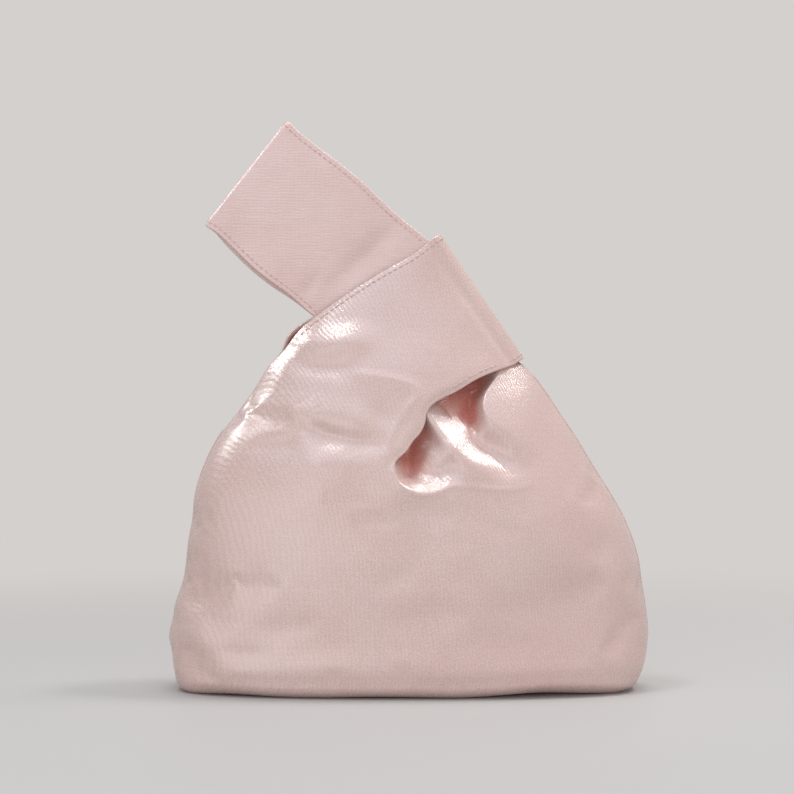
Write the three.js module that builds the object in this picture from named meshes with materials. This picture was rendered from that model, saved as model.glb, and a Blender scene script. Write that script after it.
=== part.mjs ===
// Japanese knot bag: a soft satin pouch, closed by threading its long handle through its short handle.
// Millimetres. +Z is up, +X is to the right seen from the front, +Y is to the back.
// The origin is on the table, under the middle of the bag.
import * as THREE from "three";

// Cloth: each wall is satin outside, interfacing and lining, with air between the layers.
const SATIN = 0.8;
const INTERFACING = 0.4;
const LINING = 0.6;
const LAYER_GAP = 0.35;
const PIECE_GAP = 0.4; // between neighbouring pieces of cloth
const THREAD = 0.5; // diameter
const THREAD_GAP = 0.25; // between a thread and the cloth on either side of it
const STITCH_MARGIN = 3.5; // from a hem to its topstitching

// Body: widths and depths at chosen heights
const BASE_WIDTH = 214;
const BASE_DEPTH = 74;
const ROLL = 9; // radius of the cloth where the base turns up
const ROLL_DEPTH = 83; // where the roll meets the wall
const BELLY_HEIGHT = 25;
const BELLY_WIDTH = 229;
const FULL_HEIGHT = 45;
const FULL_DEPTH = 92;
const SIDE_HEIGHT = 78;
const SIDE_WIDTH = 208;
const SIDE_DEPTH = 86;
const SEAM_TOP = 124; // the side seams end here, and the armholes begin

// Slit between the handles: its lowest point, and the cloth on its right that is tucked in
const NECK_X = -6.5;
const NECK_Z = 106;
const NECK_DEPTH = 72;
const TUCK = 0.5; // share of the depth that the tucked cloth gives up
const TUCK_REACH = 7; // height over which the cloth is drawn in, right beside the slit
const TUCK_SPREAD = 0.35; // extra height for each millimetre away from the slit
const TUCK_FADE = 0.7; // share of the right shoulder that is tucked in fully
const NECKLINE_RISE = 50; // from the lowest point of the slit to the hidden top of the right shoulder
const NECKLINE_RUN = 39; // sideways, over the same stretch

// Shoulders: where the sides of the body draw in towards the handles
const LEFT_SHOULDER_X = -98;
const RIGHT_SHOULDER_X = 89.5;
const THROAT_Z = 131;
const THROAT_LEFT_X = -82.5;
const THROAT_RIGHT_X = 73;
const THROAT_DEPTH = 54;
const SHOULDER_DEPTH = 24; // at the hidden top of the right shoulder
const KNOT_DEPTH = 20; // at the root of the short handle

// Short handle: a wide loop that grows out of the left shoulder and is folded at its far end
const SHORT_ROOT_X = -54;
const SHORT_ROOT_Z = 168;
const HEM_ANGLE = 35; // degrees from +X, of the upper hem
const HEM_MARGIN = 14; // from the root to the long handle, along the upper hem
const HEM_BOW = 2.5; // how far the upper hem bows outwards
const FOLD_ANGLE = -55.2; // degrees from +X
const FOLD_LENGTH = 71;
const FOLD_CLEARANCE = 1; // between the long handle and the middle of the fold
const FOLD_SPREAD = 4; // extra radius of the fold at its lower end, over the shoulder
const BAND_SWELL = 3.2; // how far the limbs bulge between root and fold
const LOWER_HEM_LEAVE = [12.5, 11]; // where the lower hem heads, from the lowest point of the slit
const LOWER_HEM_SWEEP = [14.5, 40]; // and how far it hangs before it turns to the fold
const SHOULDER_DROP = 8; // from the lower end of the fold to where the right shoulder slips under it

// Long handle: a flattened loop that leaves the short handle under its upper hem
const STRAP_WIDTH = 62;
const STRAP_REACH = 79; // from the hem to the far end, along the middle
const STRAP_ANGLE = 139.5; // degrees from +X, in the plane of the bag
const STRAP_OPENING = 7.4; // inside the loop, front to back
const BEND_LENGTH = 12; // the stretch that flexes just outside the hem
const TAIL_LENGTH = 40; // the stretch inside the short handle
const TAIL_MARGIN = 2.5; // how far its inner end stays clear of the fold

// Layers of a wall, as distances in from its outside
const INTERFACING_IN = SATIN + LAYER_GAP;
const LINING_IN = INTERFACING_IN + INTERFACING + LAYER_GAP;
const WALL = LINING_IN + LINING;
const LAYERS = {
  satin: [0, SATIN],
  interfacing: [INTERFACING_IN, INTERFACING_IN + INTERFACING],
  lining: [LINING_IN, WALL],
};

const SEAM_GAP = THREAD + 2 * THREAD_GAP;

// Half thicknesses that nest the strap inside the short handle
const TAIL_HALF = WALL + PIECE_GAP / 2;
const HEM_HALF = TAIL_HALF + PIECE_GAP + WALL;

const satin = new THREE.MeshStandardMaterial({ color: 0xd9bcb6, roughness: 0.38, metalness: 0 });
const interfacing = new THREE.MeshStandardMaterial({ color: 0xe9e4de, roughness: 0.9, metalness: 0 });
const lining = new THREE.MeshStandardMaterial({ color: 0xcf9f97, roughness: 0.6, metalness: 0 });
const thread = new THREE.MeshStandardMaterial({ color: 0xdca79c, roughness: 0.7, metalness: 0 });
const CLOTH = { satin, interfacing, lining };

const bag = new THREE.Group();
const strap = new THREE.Group();
bag.add(strap);

function add(group, name, geometry, material) {
  const mesh = new THREE.Mesh(geometry, material.clone());
  mesh.name = name;
  group.add(mesh);
}

// Shape helpers

const mix = (a, b, share) => a + (b - a) * share;

function ease(low, high, value) {
  const share = THREE.MathUtils.clamp((value - low) / (high - low), 0, 1);
  return share * share * (3 - 2 * share);
}

// A smooth curve through stations of [height, value], flat beyond its ends.
function through(stations) {
  const slopes = stations.map((station, i) => {
    const before = stations[Math.max(i - 1, 0)];
    const after = stations[Math.min(i + 1, stations.length - 1)];
    return (after[1] - before[1]) / (after[0] - before[0]);
  });
  return (height) => {
    if (height <= stations[0][0]) return stations[0][1];
    const i = stations.findIndex((station) => station[0] >= height);
    if (i < 0) return stations[stations.length - 1][1];
    const [lowZ, lowValue] = stations[i - 1];
    const [highZ, highValue] = stations[i];
    const span = highZ - lowZ;
    const share = (height - lowZ) / span;
    const rise = ease(0, 1, share);
    const pull = share * (1 - share);
    const bend = slopes[i - 1] * (1 - share) - slopes[i] * share;
    return mix(lowValue, highValue, rise) + span * pull * bend;
  };
}

// The volume inside a triangle mesh, negative when its faces point inwards.
function signedVolume(points, triangles) {
  const cross = new THREE.Vector3();
  let sum = 0;
  for (const [a, b, c] of triangles) {
    sum += points[a].dot(cross.crossVectors(points[b], points[c]));
  }
  return sum / 6;
}

// A closed sheet of cloth: pointAt(column, row, inset) gives both faces, and a rim joins them.
function sheet(pointAt, columns, rows, [near, far]) {
  const points = [];
  const triangles = [];
  const perFace = (columns + 1) * (rows + 1);
  const at = (face, i, j) => face * perFace + j * (columns + 1) + i;
  const quad = (a, b, c, d) => triangles.push([a, b, c], [a, c, d]);
  for (const inset of [near, far]) {
    for (let j = 0; j <= rows; j++) {
      for (let i = 0; i <= columns; i++) points.push(pointAt(i, j, inset));
    }
  }
  for (let j = 0; j < rows; j++) {
    for (let i = 0; i < columns; i++) {
      quad(at(0, i, j), at(0, i + 1, j), at(0, i + 1, j + 1), at(0, i, j + 1));
      quad(at(1, i, j), at(1, i, j + 1), at(1, i + 1, j + 1), at(1, i + 1, j));
    }
  }
  for (let i = 0; i < columns; i++) {
    quad(at(0, i, 0), at(1, i, 0), at(1, i + 1, 0), at(0, i + 1, 0));
    quad(at(0, i, rows), at(0, i + 1, rows), at(1, i + 1, rows), at(1, i, rows));
  }
  for (let j = 0; j < rows; j++) {
    quad(at(0, 0, j), at(0, 0, j + 1), at(1, 0, j + 1), at(1, 0, j));
    quad(at(0, columns, j), at(1, columns, j), at(1, columns, j + 1), at(0, columns, j + 1));
  }
  if (signedVolume(points, triangles) < 0) triangles.forEach((corners) => corners.reverse());
  const geometry = new THREE.BufferGeometry().setFromPoints(points);
  geometry.setIndex(triangles.flat());
  geometry.computeVertexNormals();
  return geometry;
}

// A sewing thread along points, with a hexagonal section.
function threadAlong(points, steps) {
  const section = new THREE.Shape(
    Array.from({ length: 6 }, (_, i) => {
      const angle = (i * Math.PI) / 3;
      return new THREE.Vector2(Math.cos(angle), Math.sin(angle)).multiplyScalar(THREAD / 2);
    }),
  );
  const extrudePath = new THREE.CatmullRomCurve3(points, false, "chordal");
  return new THREE.ExtrudeGeometry(section, { extrudePath, steps });
}

// Short handle seen from the front: the root on the left, the hems and the fold on the right

const heading = (degrees) => {
  const angle = THREE.MathUtils.degToRad(degrees);
  return new THREE.Vector2(Math.cos(angle), Math.sin(angle));
};
const shortRoot = new THREE.Vector2(SHORT_ROOT_X, SHORT_ROOT_Z);
const neck = new THREE.Vector2(NECK_X, NECK_Z);
const hemAlong = heading(HEM_ANGLE);
const hemOut = heading(HEM_ANGLE + 90);
const foldAlong = heading(FOLD_ANGLE);
const foldOut = heading(FOLD_ANGLE + 90);
const hemTurn = THREE.MathUtils.degToRad(STRAP_ANGLE - HEM_ANGLE - 90); // of the strap, off square to the hem
const STRAP_MOUTH = STRAP_WIDTH / Math.cos(hemTurn); // along the hem
const HEM_LENGTH = HEM_MARGIN + STRAP_MOUTH + FOLD_CLEARANCE;
const foldRadius = (across) => HEM_HALF + FOLD_SPREAD * across;
const foldAxisTop = shortRoot.clone().addScaledVector(hemAlong, HEM_LENGTH);
const foldAxisBottom = foldAxisTop.clone().addScaledVector(foldAlong, FOLD_LENGTH);
foldAxisBottom.addScaledVector(foldOut, -FOLD_SPREAD);
const foldAxis = (across) => foldAxisTop.clone().lerp(foldAxisBottom, across);
const upperHem = new THREE.QuadraticBezierCurve(
  shortRoot,
  shortRoot.clone().lerp(foldAxisTop, 0.5).addScaledVector(hemOut, 2 * HEM_BOW),
  foldAxisTop,
);
const lowerHem = new THREE.CubicBezierCurve(
  neck,
  neck.clone().add(new THREE.Vector2(...LOWER_HEM_LEAVE)),
  neck.clone().add(new THREE.Vector2(...LOWER_HEM_SWEEP)),
  foldAxisBottom,
);

// Body: the front and back panels are one surface, mirrored

const SHOULDER_TOP_Z = NECK_Z + NECKLINE_RISE;
const shoulderSlip = foldAxisBottom.clone().addScaledVector(foldOut, foldRadius(1));
shoulderSlip.addScaledVector(foldAlong, SHOULDER_DROP / 2).y -= SHOULDER_DROP / 2;
const shoulderTop = foldAxisBottom.clone().addScaledVector(foldOut, -WALL);
const leftEdge = through([
  [0, -BASE_WIDTH / 2],
  [BELLY_HEIGHT, -BELLY_WIDTH / 2],
  [SIDE_HEIGHT, -SIDE_WIDTH / 2],
  [NECK_Z, LEFT_SHOULDER_X],
  [THROAT_Z, THROAT_LEFT_X],
  [SHORT_ROOT_Z, SHORT_ROOT_X],
]);
const rightEdge = through([
  [0, BASE_WIDTH / 2],
  [BELLY_HEIGHT, BELLY_WIDTH / 2],
  [SIDE_HEIGHT, SIDE_WIDTH / 2],
  [NECK_Z, RIGHT_SHOULDER_X],
  [THROAT_Z, THROAT_RIGHT_X],
  [shoulderSlip.y, shoulderSlip.x],
  [SHOULDER_TOP_Z, shoulderTop.x],
]);
const depth = through([
  [ROLL, ROLL_DEPTH / 2],
  [FULL_HEIGHT, FULL_DEPTH / 2],
  [SIDE_HEIGHT, SIDE_DEPTH / 2],
  [NECK_Z, NECK_DEPTH / 2],
  [THROAT_Z, THROAT_DEPTH / 2],
  [SHOULDER_TOP_Z, SHOULDER_DEPTH / 2],
  [SHORT_ROOT_Z, KNOT_DEPTH / 2],
]);
// How far a wall lies flat, side by side with the other one, instead of closing round the seam.
const ARMHOLE_FULL_Z = (THROAT_Z + SHORT_ROOT_Z) / 2;
const flatness = (z) => ease(SEAM_TOP, ARMHOLE_FULL_Z, z);
// Exponents of the section: low is boxy, 1 is an ellipse, high is lens-shaped.
const roundness = through([
  [0, 0.55],
  [BELLY_HEIGHT, 0.75],
  [NECK_Z, 1],
  [ARMHOLE_FULL_Z, 1.6],
]);

// The cloth right of the slit is tucked in behind the short handle.
function tucked(x, z) {
  if (x <= NECK_X || z <= NECK_Z) return 0;
  const reach = TUCK_REACH + TUCK_SPREAD * (x - NECK_X);
  const fade = 1 - ease(TUCK_FADE, 1, (x - NECK_X) / (rightEdge(z) - NECK_X));
  return TUCK * ease(0, reach, z - NECK_Z) * fade;
}

// Half the armhole between front and back: as wide as the hem on the left, squeezed on the right.
function armhole(x, z) {
  const share = (x - leftEdge(z)) / (rightEdge(z) - leftEdge(z));
  return mix(HEM_HALF, WALL + PIECE_GAP / 2, THREE.MathUtils.clamp(share, 0, 1)) * flatness(z);
}

// Half the bag's depth at a place seen from the front, for a layer that lies inset from the outside.
function halfDepth(x, z, inset) {
  const middle = (leftEdge(z) + rightEdge(z)) / 2;
  const width = (rightEdge(z) - leftEdge(z)) / 2 - inset * (1 - flatness(z));
  const out = THREE.MathUtils.clamp(Math.abs(x - middle) / width, 0, 1);
  const swell = Math.pow(1 - out * out, roundness(z) / 2);
  const thin = inset * mix(swell, 1, flatness(z));
  return SEAM_GAP / 2 + armhole(x, z) + depth(z) * swell * (1 - tucked(x, z)) - thin;
}

// The height where the body ends: the root of the short handle on the left, the neckline on the right.
function topOf(x) {
  const slope = (SHORT_ROOT_Z - NECK_Z) / (NECK_X - SHORT_ROOT_X);
  const low = NECK_Z - PIECE_GAP * Math.hypot(1, slope);
  if (x <= NECK_X) return low + slope * (NECK_X - x);
  return low + NECKLINE_RISE * ease(0, NECKLINE_RUN, x - NECK_X);
}

const SIDE_COLUMNS = 9; // on each side of the slit
const PANEL_COLUMNS = 2 * SIDE_COLUMNS;
const BASE_ROWS = 2;
const ROLL_ROWS = 2;
const WALL_ROWS = 9;
const PANEL_ROWS = BASE_ROWS + ROLL_ROWS + WALL_ROWS;

// The columns run from seam to seam, and the middle one ends at the lowest point of the slit.
const neckMiddle = (leftEdge(NECK_Z) + rightEdge(NECK_Z)) / 2;
const neckTurn = Math.acos((neckMiddle - NECK_X) / (rightEdge(NECK_Z) - neckMiddle));
function columnTurn(column) {
  if (column <= SIDE_COLUMNS) return neckTurn * (column / SIDE_COLUMNS);
  return mix(neckTurn, Math.PI, (column - SIDE_COLUMNS) / SIDE_COLUMNS);
}

// A point of a panel: the rows run from the middle of the base, round the roll and up the wall.
function panelPoint(side, column, row, inset) {
  const turn = columnTurn(column);
  const across = -Math.cos(turn);
  const place = (z) => {
    const middle = (leftEdge(z) + rightEdge(z)) / 2;
    const width = (rightEdge(z) - leftEdge(z)) / 2 - inset * (1 - flatness(z));
    return middle + width * across;
  };
  if (row <= BASE_ROWS) {
    const share = row / BASE_ROWS;
    const x = place(0) * mix(1 - ROLL / BASE_WIDTH, 1, share);
    const flat = (BASE_DEPTH / 2 - ROLL) * share * Math.pow(Math.sin(turn), roundness(0));
    return new THREE.Vector3(x, side * (SEAM_GAP / 2 + flat), inset);
  }
  if (row < BASE_ROWS + ROLL_ROWS) {
    const angle = ((row - BASE_ROWS) / ROLL_ROWS) * (Math.PI / 2);
    const z = inset + (ROLL - inset) * (1 - Math.cos(angle));
    const foot = SEAM_GAP / 2 + (BASE_DEPTH / 2 - ROLL) * Math.pow(Math.sin(turn), roundness(0));
    const wall = halfDepth(place(ROLL), ROLL, inset);
    return new THREE.Vector3(place(z), side * mix(foot, wall, Math.sin(angle)), z);
  }
  let low = ROLL;
  let high = SHORT_ROOT_Z;
  for (let step = 0; step < 30; step++) {
    const z = (low + high) / 2;
    if (z < topOf(place(z))) low = z;
    else high = z;
  }
  const z = mix(ROLL, low, (row - BASE_ROWS - ROLL_ROWS) / WALL_ROWS);
  const x = place(z);
  return new THREE.Vector3(x, side * halfDepth(x, z, inset), z);
}

function panels() {
  for (const [face, side] of [["front", -1], ["back", 1]]) {
    for (const [layer, insets] of Object.entries(LAYERS)) {
      const point = (column, row, inset) => panelPoint(side, column, row, inset);
      const name = layer === "satin" ? `${face}_panel` : `${face}_${layer}`;
      add(bag, name, sheet(point, PANEL_COLUMNS, PANEL_ROWS, insets), CLOTH[layer]);
    }
  }
}

function seamThreads() {
  const height = SATIN / 2;
  const heights = Array.from({ length: 8 }, (_, i) => mix(ROLL, SEAM_TOP - STITCH_MARGIN, i / 7));
  const left = heights.map((z) => new THREE.Vector3(leftEdge(z) + height, 0, z));
  const right = heights.map((z) => new THREE.Vector3(rightEdge(z) - height, 0, z));
  const end = (BASE_WIDTH / 2) * (1 - ROLL / BASE_WIDTH) - STITCH_MARGIN;
  const base = [-end, 0, end].map((x) => new THREE.Vector3(x, 0, height));
  add(bag, "left_side_seam", threadAlong(left, 20), thread);
  add(bag, "right_side_seam", threadAlong(right, 20), thread);
  add(bag, "base_seam", threadAlong(base, 4), thread);
}

// Short handle: from its root on the front, round the fold and back to its root on the back panel

const BAND_COLUMNS = 6;
const LIMB_ROWS = 9;
const FOLD_ROWS = 5;
const BAND_ROWS = 2 * LIMB_ROWS + FOLD_ROWS;

// A place on the front or back limb, seen from the front: a patch between the hems, the root and the fold.
function limbPlace(along, across) {
  const hems = upperHem.getPoint(along).lerp(lowerHem.getPoint(along), across);
  const ends = shortRoot.clone().lerp(neck, across).lerp(foldAxis(across), along);
  const corners = shortRoot.clone().lerp(foldAxisTop, along);
  corners.lerp(neck.clone().lerp(foldAxisBottom, along), across);
  return hems.add(ends).sub(corners);
}

function bandPoint(row, across, inset) {
  const turned = row - LIMB_ROWS;
  if (turned > 0 && turned < FOLD_ROWS) {
    const angle = (turned / FOLD_ROWS) * Math.PI;
    const radius = foldRadius(across) - inset;
    const place = foldAxis(across).addScaledVector(foldOut, radius * Math.sin(angle));
    return new THREE.Vector3(place.x, -radius * Math.cos(angle), place.y);
  }
  const side = turned <= 0 ? -1 : 1;
  const along = (turned <= 0 ? row : BAND_ROWS - row) / LIMB_ROWS;
  const place = limbPlace(along, across);
  const rootPlace = limbPlace(0, across);
  const rootDepth = halfDepth(rootPlace.x, rootPlace.y, 0);
  const swell = 4 * BAND_SWELL * along * (1 - along) * across;
  const half = mix(rootDepth, foldRadius(across), ease(0, 1, along)) + swell;
  return new THREE.Vector3(place.x, side * (half - inset), place.y);
}

function shortHandle() {
  for (const [layer, insets] of Object.entries(LAYERS)) {
    const point = (column, row, inset) => bandPoint(row, column / BAND_COLUMNS, inset);
    const name = layer === "satin" ? "short_handle" : `short_handle_${layer}`;
    add(bag, name, sheet(point, BAND_COLUMNS, BAND_ROWS, insets), CLOTH[layer]);
  }
  const proud = -(PIECE_GAP + THREAD / 2);
  const margin = STITCH_MARGIN / shortRoot.distanceTo(neck);
  for (const [hem, across] of [["upper", margin], ["lower", 1 - margin]]) {
    const rows = Array.from({ length: BAND_ROWS - 1 }, (_, i) => i + 1);
    const path = rows.map((row) => bandPoint(row, across, proud));
    add(bag, `short_handle_${hem}_topstitch`, threadAlong(path, 48), thread);
  }
}

// Long handle: its own frame has +X along the strap, +Z across it, and its origin under the upper hem

const strapMiddle = HEM_MARGIN + STRAP_MOUTH / 2;
const strapPlace = shortRoot.clone().addScaledVector(hemAlong, strapMiddle);
strapPlace.addScaledVector(hemOut, HEM_BOW + PIECE_GAP);
strap.position.set(strapPlace.x, 0, strapPlace.y);
strap.rotation.y = -THREE.MathUtils.degToRad(STRAP_ANGLE);

// How far the hem runs along the strap for each millimetre across it
const hemSkew = Math.tan(hemTurn);
const HALF_STRAP = STRAP_WIDTH / 2;
const bendEnd = (across) => hemSkew * across + BEND_LENGTH / Math.cos(hemTurn);
const STRAP_COLUMNS = 6;
const STRAP_ROWS = 9;
const END_ROWS = 4;
const LOOP_ROWS = 2 * STRAP_ROWS + END_ROWS;
const END_RADIUS = TAIL_HALF + LAYER_GAP;

// Half the thickness of the loop: squeezed at the hem, open in the middle, folded at the far end.
function loopHalf(along) {
  const open = STRAP_OPENING / 2 + WALL - END_RADIUS;
  return mix(TAIL_HALF, END_RADIUS, along) + open * Math.pow(Math.sin(Math.PI * along), 0.7);
}

function loopPoint(row, across, inset) {
  const end = STRAP_REACH - END_RADIUS;
  const turned = row - STRAP_ROWS;
  if (turned > 0 && turned < END_ROWS) {
    const angle = (turned / END_ROWS) * Math.PI;
    const radius = END_RADIUS - inset;
    return new THREE.Vector3(end + radius * Math.sin(angle), -radius * Math.cos(angle), across);
  }
  const side = turned <= 0 ? -1 : 1;
  const along = (turned <= 0 ? row : LOOP_ROWS - row) / STRAP_ROWS;
  const x = mix(bendEnd(across) + PIECE_GAP, end, along);
  return new THREE.Vector3(x, side * (loopHalf(along) - inset), across);
}

function longHandleLoop() {
  const across = (column) => STRAP_WIDTH * (column / STRAP_COLUMNS) - HALF_STRAP;
  for (const [layer, insets] of Object.entries(LAYERS)) {
    const point = (column, row, inset) => loopPoint(row, across(column), inset);
    const name = layer === "satin" ? "long_handle" : `long_handle_${layer}`;
    add(strap, name, sheet(point, STRAP_COLUMNS, LOOP_ROWS, insets), CLOTH[layer]);
  }
  const proud = -(PIECE_GAP + THREAD / 2);
  for (const [edge, sign] of [["upper", -1], ["lower", 1]]) {
    const rows = Array.from({ length: LOOP_ROWS + 1 }, (_, i) => i);
    const path = rows.map((row) => loopPoint(row, sign * (HALF_STRAP - STITCH_MARGIN), proud));
    add(strap, `long_handle_${edge}_topstitch`, threadAlong(path, 44), thread);
  }
}

// The flexing stretch and the hidden tail are whole walls, one at the front and one at the back.
function wallPiece(name, side, startAt, endAt, narrowing) {
  const point = (column, row, inset) => {
    const share = column / STRAP_COLUMNS;
    const top = mix(-HALF_STRAP + narrowing(row), HALF_STRAP, share);
    const x = mix(startAt(top), endAt(top), row);
    return new THREE.Vector3(x, side * (TAIL_HALF - inset), top);
  };
  add(strap, name, sheet(point, STRAP_COLUMNS, 1, [0, WALL]), satin);
}

function longHandleRoot() {
  const hem = (across) => hemSkew * across;
  const tailEnd = (across) => hemSkew * across - TAIL_LENGTH;
  const clear = (across) => hemSkew * across - PIECE_GAP;
  const foldTurn = THREE.MathUtils.degToRad(STRAP_ANGLE - FOLD_ANGLE - 180);
  const taper = (row) => PIECE_GAP + row * (TAIL_LENGTH * Math.tan(foldTurn) + TAIL_MARGIN);
  for (const [face, side] of [["front", -1], ["back", 1]]) {
    wallPiece(`long_handle_${face}_bend`, side, hem, bendEnd, () => 0);
    wallPiece(`long_handle_${face}_tail`, side, clear, tailEnd, taper);
  }
}

panels();
seamThreads();
shortHandle();
longHandleLoop();
longHandleRoot();

export default bag;
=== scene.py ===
"""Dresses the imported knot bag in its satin, lining, seams and topstitching.

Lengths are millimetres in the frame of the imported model: +X to the right seen from the front, +Y to
the back, +Z up from the table. Meshes are scaled to metres when they are made.
"""

import logging
import math
from dataclasses import dataclass, field, replace
from enum import Enum
from typing import Iterable, Sequence

import bmesh
import bpy
import numpy as np
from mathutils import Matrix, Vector
from mathutils.kdtree import KDTree


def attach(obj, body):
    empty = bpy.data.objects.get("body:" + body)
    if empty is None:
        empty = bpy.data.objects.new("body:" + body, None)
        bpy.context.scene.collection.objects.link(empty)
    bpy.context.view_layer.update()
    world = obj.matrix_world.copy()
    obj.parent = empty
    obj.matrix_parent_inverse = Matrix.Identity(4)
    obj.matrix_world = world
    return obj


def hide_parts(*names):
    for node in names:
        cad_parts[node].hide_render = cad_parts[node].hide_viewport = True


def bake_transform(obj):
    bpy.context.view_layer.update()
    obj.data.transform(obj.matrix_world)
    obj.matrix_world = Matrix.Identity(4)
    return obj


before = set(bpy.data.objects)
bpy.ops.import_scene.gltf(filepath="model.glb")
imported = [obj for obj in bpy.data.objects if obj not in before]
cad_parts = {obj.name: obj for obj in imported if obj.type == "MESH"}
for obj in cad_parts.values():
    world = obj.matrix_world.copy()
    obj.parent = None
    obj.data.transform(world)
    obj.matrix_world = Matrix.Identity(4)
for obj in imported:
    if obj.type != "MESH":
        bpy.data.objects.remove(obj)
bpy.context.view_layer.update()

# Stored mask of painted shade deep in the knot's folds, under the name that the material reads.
FOLD_SHADE = "tuck"
MM = 0.001
TINY = 1e-9
LOG = logging.getLogger("knot_bag")

Array = np.ndarray
Colour = tuple[float, float, float, float]
Point = tuple[float, float]


class Side(Enum):
    """The two faces of the bag, as the sign of Y."""

    FRONT = -1
    BACK = 1


class Body(Enum):
    """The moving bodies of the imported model."""

    BAG = "bag"
    TAIL = "long_handle_tail"
    LOOP = "long_handle_loop"


class Slot(Enum):
    """The record's material slots, one named for each piece."""

    SATIN = "satin"
    LINING = "lining"
    THREAD = "thread"


class Hold(Enum):
    """How a sheet of cloth is kept in its shape."""

    GATHERED = "gathered"
    FOLDED = "folded"


def srgb(red: int, green: int, blue: int) -> Colour:
    """Turns a colour in display values of 0 to 255 into linear light.

    Args:
        red: Red of the colour.
        green: Green of the colour.
        blue: Blue of the colour.

    Returns:
        The colour with an alpha of 1.
    """

    def linear(value: int) -> float:
        """Linear light of one channel."""
        share = value / 255
        return share / 12.92 if share <= 0.04045 else ((share + 0.055) / 1.055) ** 2.4

    return linear(red), linear(green), linear(blue), 1.0


def ease(low: float | Array, high: float | Array, value: float | Array) -> Array:
    """Rises smoothly from 0 where a value is low to 1 where it is high."""
    share = np.clip((value - low) / (high - low), 0, 1)
    return share * share * (3 - 2 * share)


def bell(value: Array, width: float | Array) -> Array:
    """A bump of height 1 at 0 that fades over width."""
    return np.exp(-((value / width) ** 2))


def level_off(value: Array, straight: float, easing: float) -> Array:
    """Rises evenly from 0 over a straight length, then eases off to 1 over another one."""
    past = np.clip(value - straight, 0, easing)
    return (np.clip(value, 0, straight) + past - past**2 / (2 * easing)) / (straight + easing / 2)


def lengths(path: Array) -> Array:
    """Length along a row of points, up to each of them."""
    return np.concatenate([[0], np.cumsum(np.linalg.norm(np.diff(path, axis=0), axis=1))])


def follow(rows: Array, length: Array, spots: Array) -> Array:
    """Looks up rows that go with a path's points, each at its length, at some spots along it."""
    return np.stack([np.interp(spots, length, column) for column in rows.T], axis=1)


def unit(ways: Array) -> Array:
    """The same ways with a length of 1."""
    return ways / np.maximum(np.linalg.norm(ways, axis=-1, keepdims=True), TINY)


def every(stride: int, count: int) -> Array:
    """Every so many places of a row, with its last place among them."""
    return np.unique(np.append(np.arange(0, count, stride), count - 1))


@dataclass(frozen=True)
class Profile:
    """A length that changes smoothly with another one, through a few stations.

    Attributes:
        stations: Pairs of place and value, in rising order of place.
    """

    stations: tuple[Point, ...]

    def at(self, place: float | Array) -> Array:
        """Looks the value up.

        Args:
            place: One place or many. Beyond the ends, the end values hold.

        Returns:
            The value at each place.
        """
        places, values = (np.array(column, float) for column in zip(*self.stations))
        steps = np.diff(values) / np.diff(places)
        slopes = np.concatenate([steps[:1], (steps[1:] + steps[:-1]) / 2, steps[-1:]])
        spot = np.clip(np.asarray(place, float), places[0], places[-1])
        low = np.clip(np.searchsorted(places, spot, side="right") - 1, 0, len(places) - 2)
        span = places[low + 1] - places[low]
        share = (spot - places[low]) / span
        return (
            values[low] * (1 + 2 * share) * (1 - share) ** 2
            + values[low + 1] * share**2 * (3 - 2 * share)
            + span * (slopes[low] * share * (1 - share) ** 2 - slopes[low + 1] * share**2 * (1 - share))
        )


@dataclass(frozen=True)
class Line:
    """A line drawn on the cloth, seen from the front, that passes through a few points.

    Attributes:
        points: Places across (X) and up (Z).
        samples: Short straight pieces that stand for the line.
        fine: Points that its length is measured on.
        batch: Places that are measured against it at one time, to spare memory.
    """

    points: tuple[Point, ...]
    samples: int = 72
    fine: int = 400
    batch: int = 20000

    def along(self, share: Array) -> Array:
        """Points of the line.

        Args:
            share: Shares of the line's length, from 0 to 1.

        Returns:
            One row of X and Z for each share.
        """
        knots = np.array(self.points, float)
        steps = lengths(knots)
        fine = np.linspace(0, steps[-1], self.fine)
        curve = np.stack([Profile(tuple(zip(steps, column))).at(fine) for column in knots.T], axis=1)
        length = lengths(curve)
        return follow(curve, length, np.asarray(share, float) * length[-1])

    def near(self, x: Array, z: Array) -> tuple[Array, Array]:
        """Measures places against the line.

        Args:
            x: Places across.
            z: Places up.

        Returns:
            The distance to the line, positive on its right-hand side, and the share of the line there.
        """
        curve = self.along(np.linspace(0, 1, self.samples + 1))
        starts, runs = curve[:-1], np.diff(curve, axis=0)
        spots = np.stack([np.ravel(x), np.ravel(z)], axis=1)
        distance = np.empty(len(spots))
        share = np.empty(len(spots))
        for first in range(0, len(spots), self.batch):
            some = slice(first, first + self.batch)
            offset = spots[some, None, :] - starts[None]
            part = np.clip((offset * runs).sum(-1) / (runs * runs).sum(-1), 0, 1)
            gap = offset - part[..., None] * runs
            size = np.hypot(gap[..., 0], gap[..., 1])
            best = size.argmin(1)
            rows = np.arange(len(best))
            turn = runs[best, 0] * offset[rows, best, 1] - runs[best, 1] * offset[rows, best, 0]
            distance[some] = np.where(turn > 0, -1.0, 1.0) * size[rows, best]
            share[some] = (best + part[rows, best]) / self.samples
        return distance.reshape(np.shape(x)), share.reshape(np.shape(x))


@dataclass(frozen=True)
class Crease:
    """A soft ridge or valley of the cloth along a line.

    Attributes:
        line: The line.
        rise: Height in the middle, below 0 for a valley.
        reach: How far it spreads to both sides.
        begins: Share of the line by which it has come up.
        ends: Share of the line from which it fades away.
    """

    line: Line
    rise: float
    reach: float
    begins: float = 0.5
    ends: float = 0.7

    def at(self, x: Array, z: Array) -> Array:
        """The height to add at places across and up."""
        near, along = self.line.near(x, z)
        return self.rise * bell(near, self.reach) * ease(0, self.begins, along) * ease(1, self.ends, along)


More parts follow.
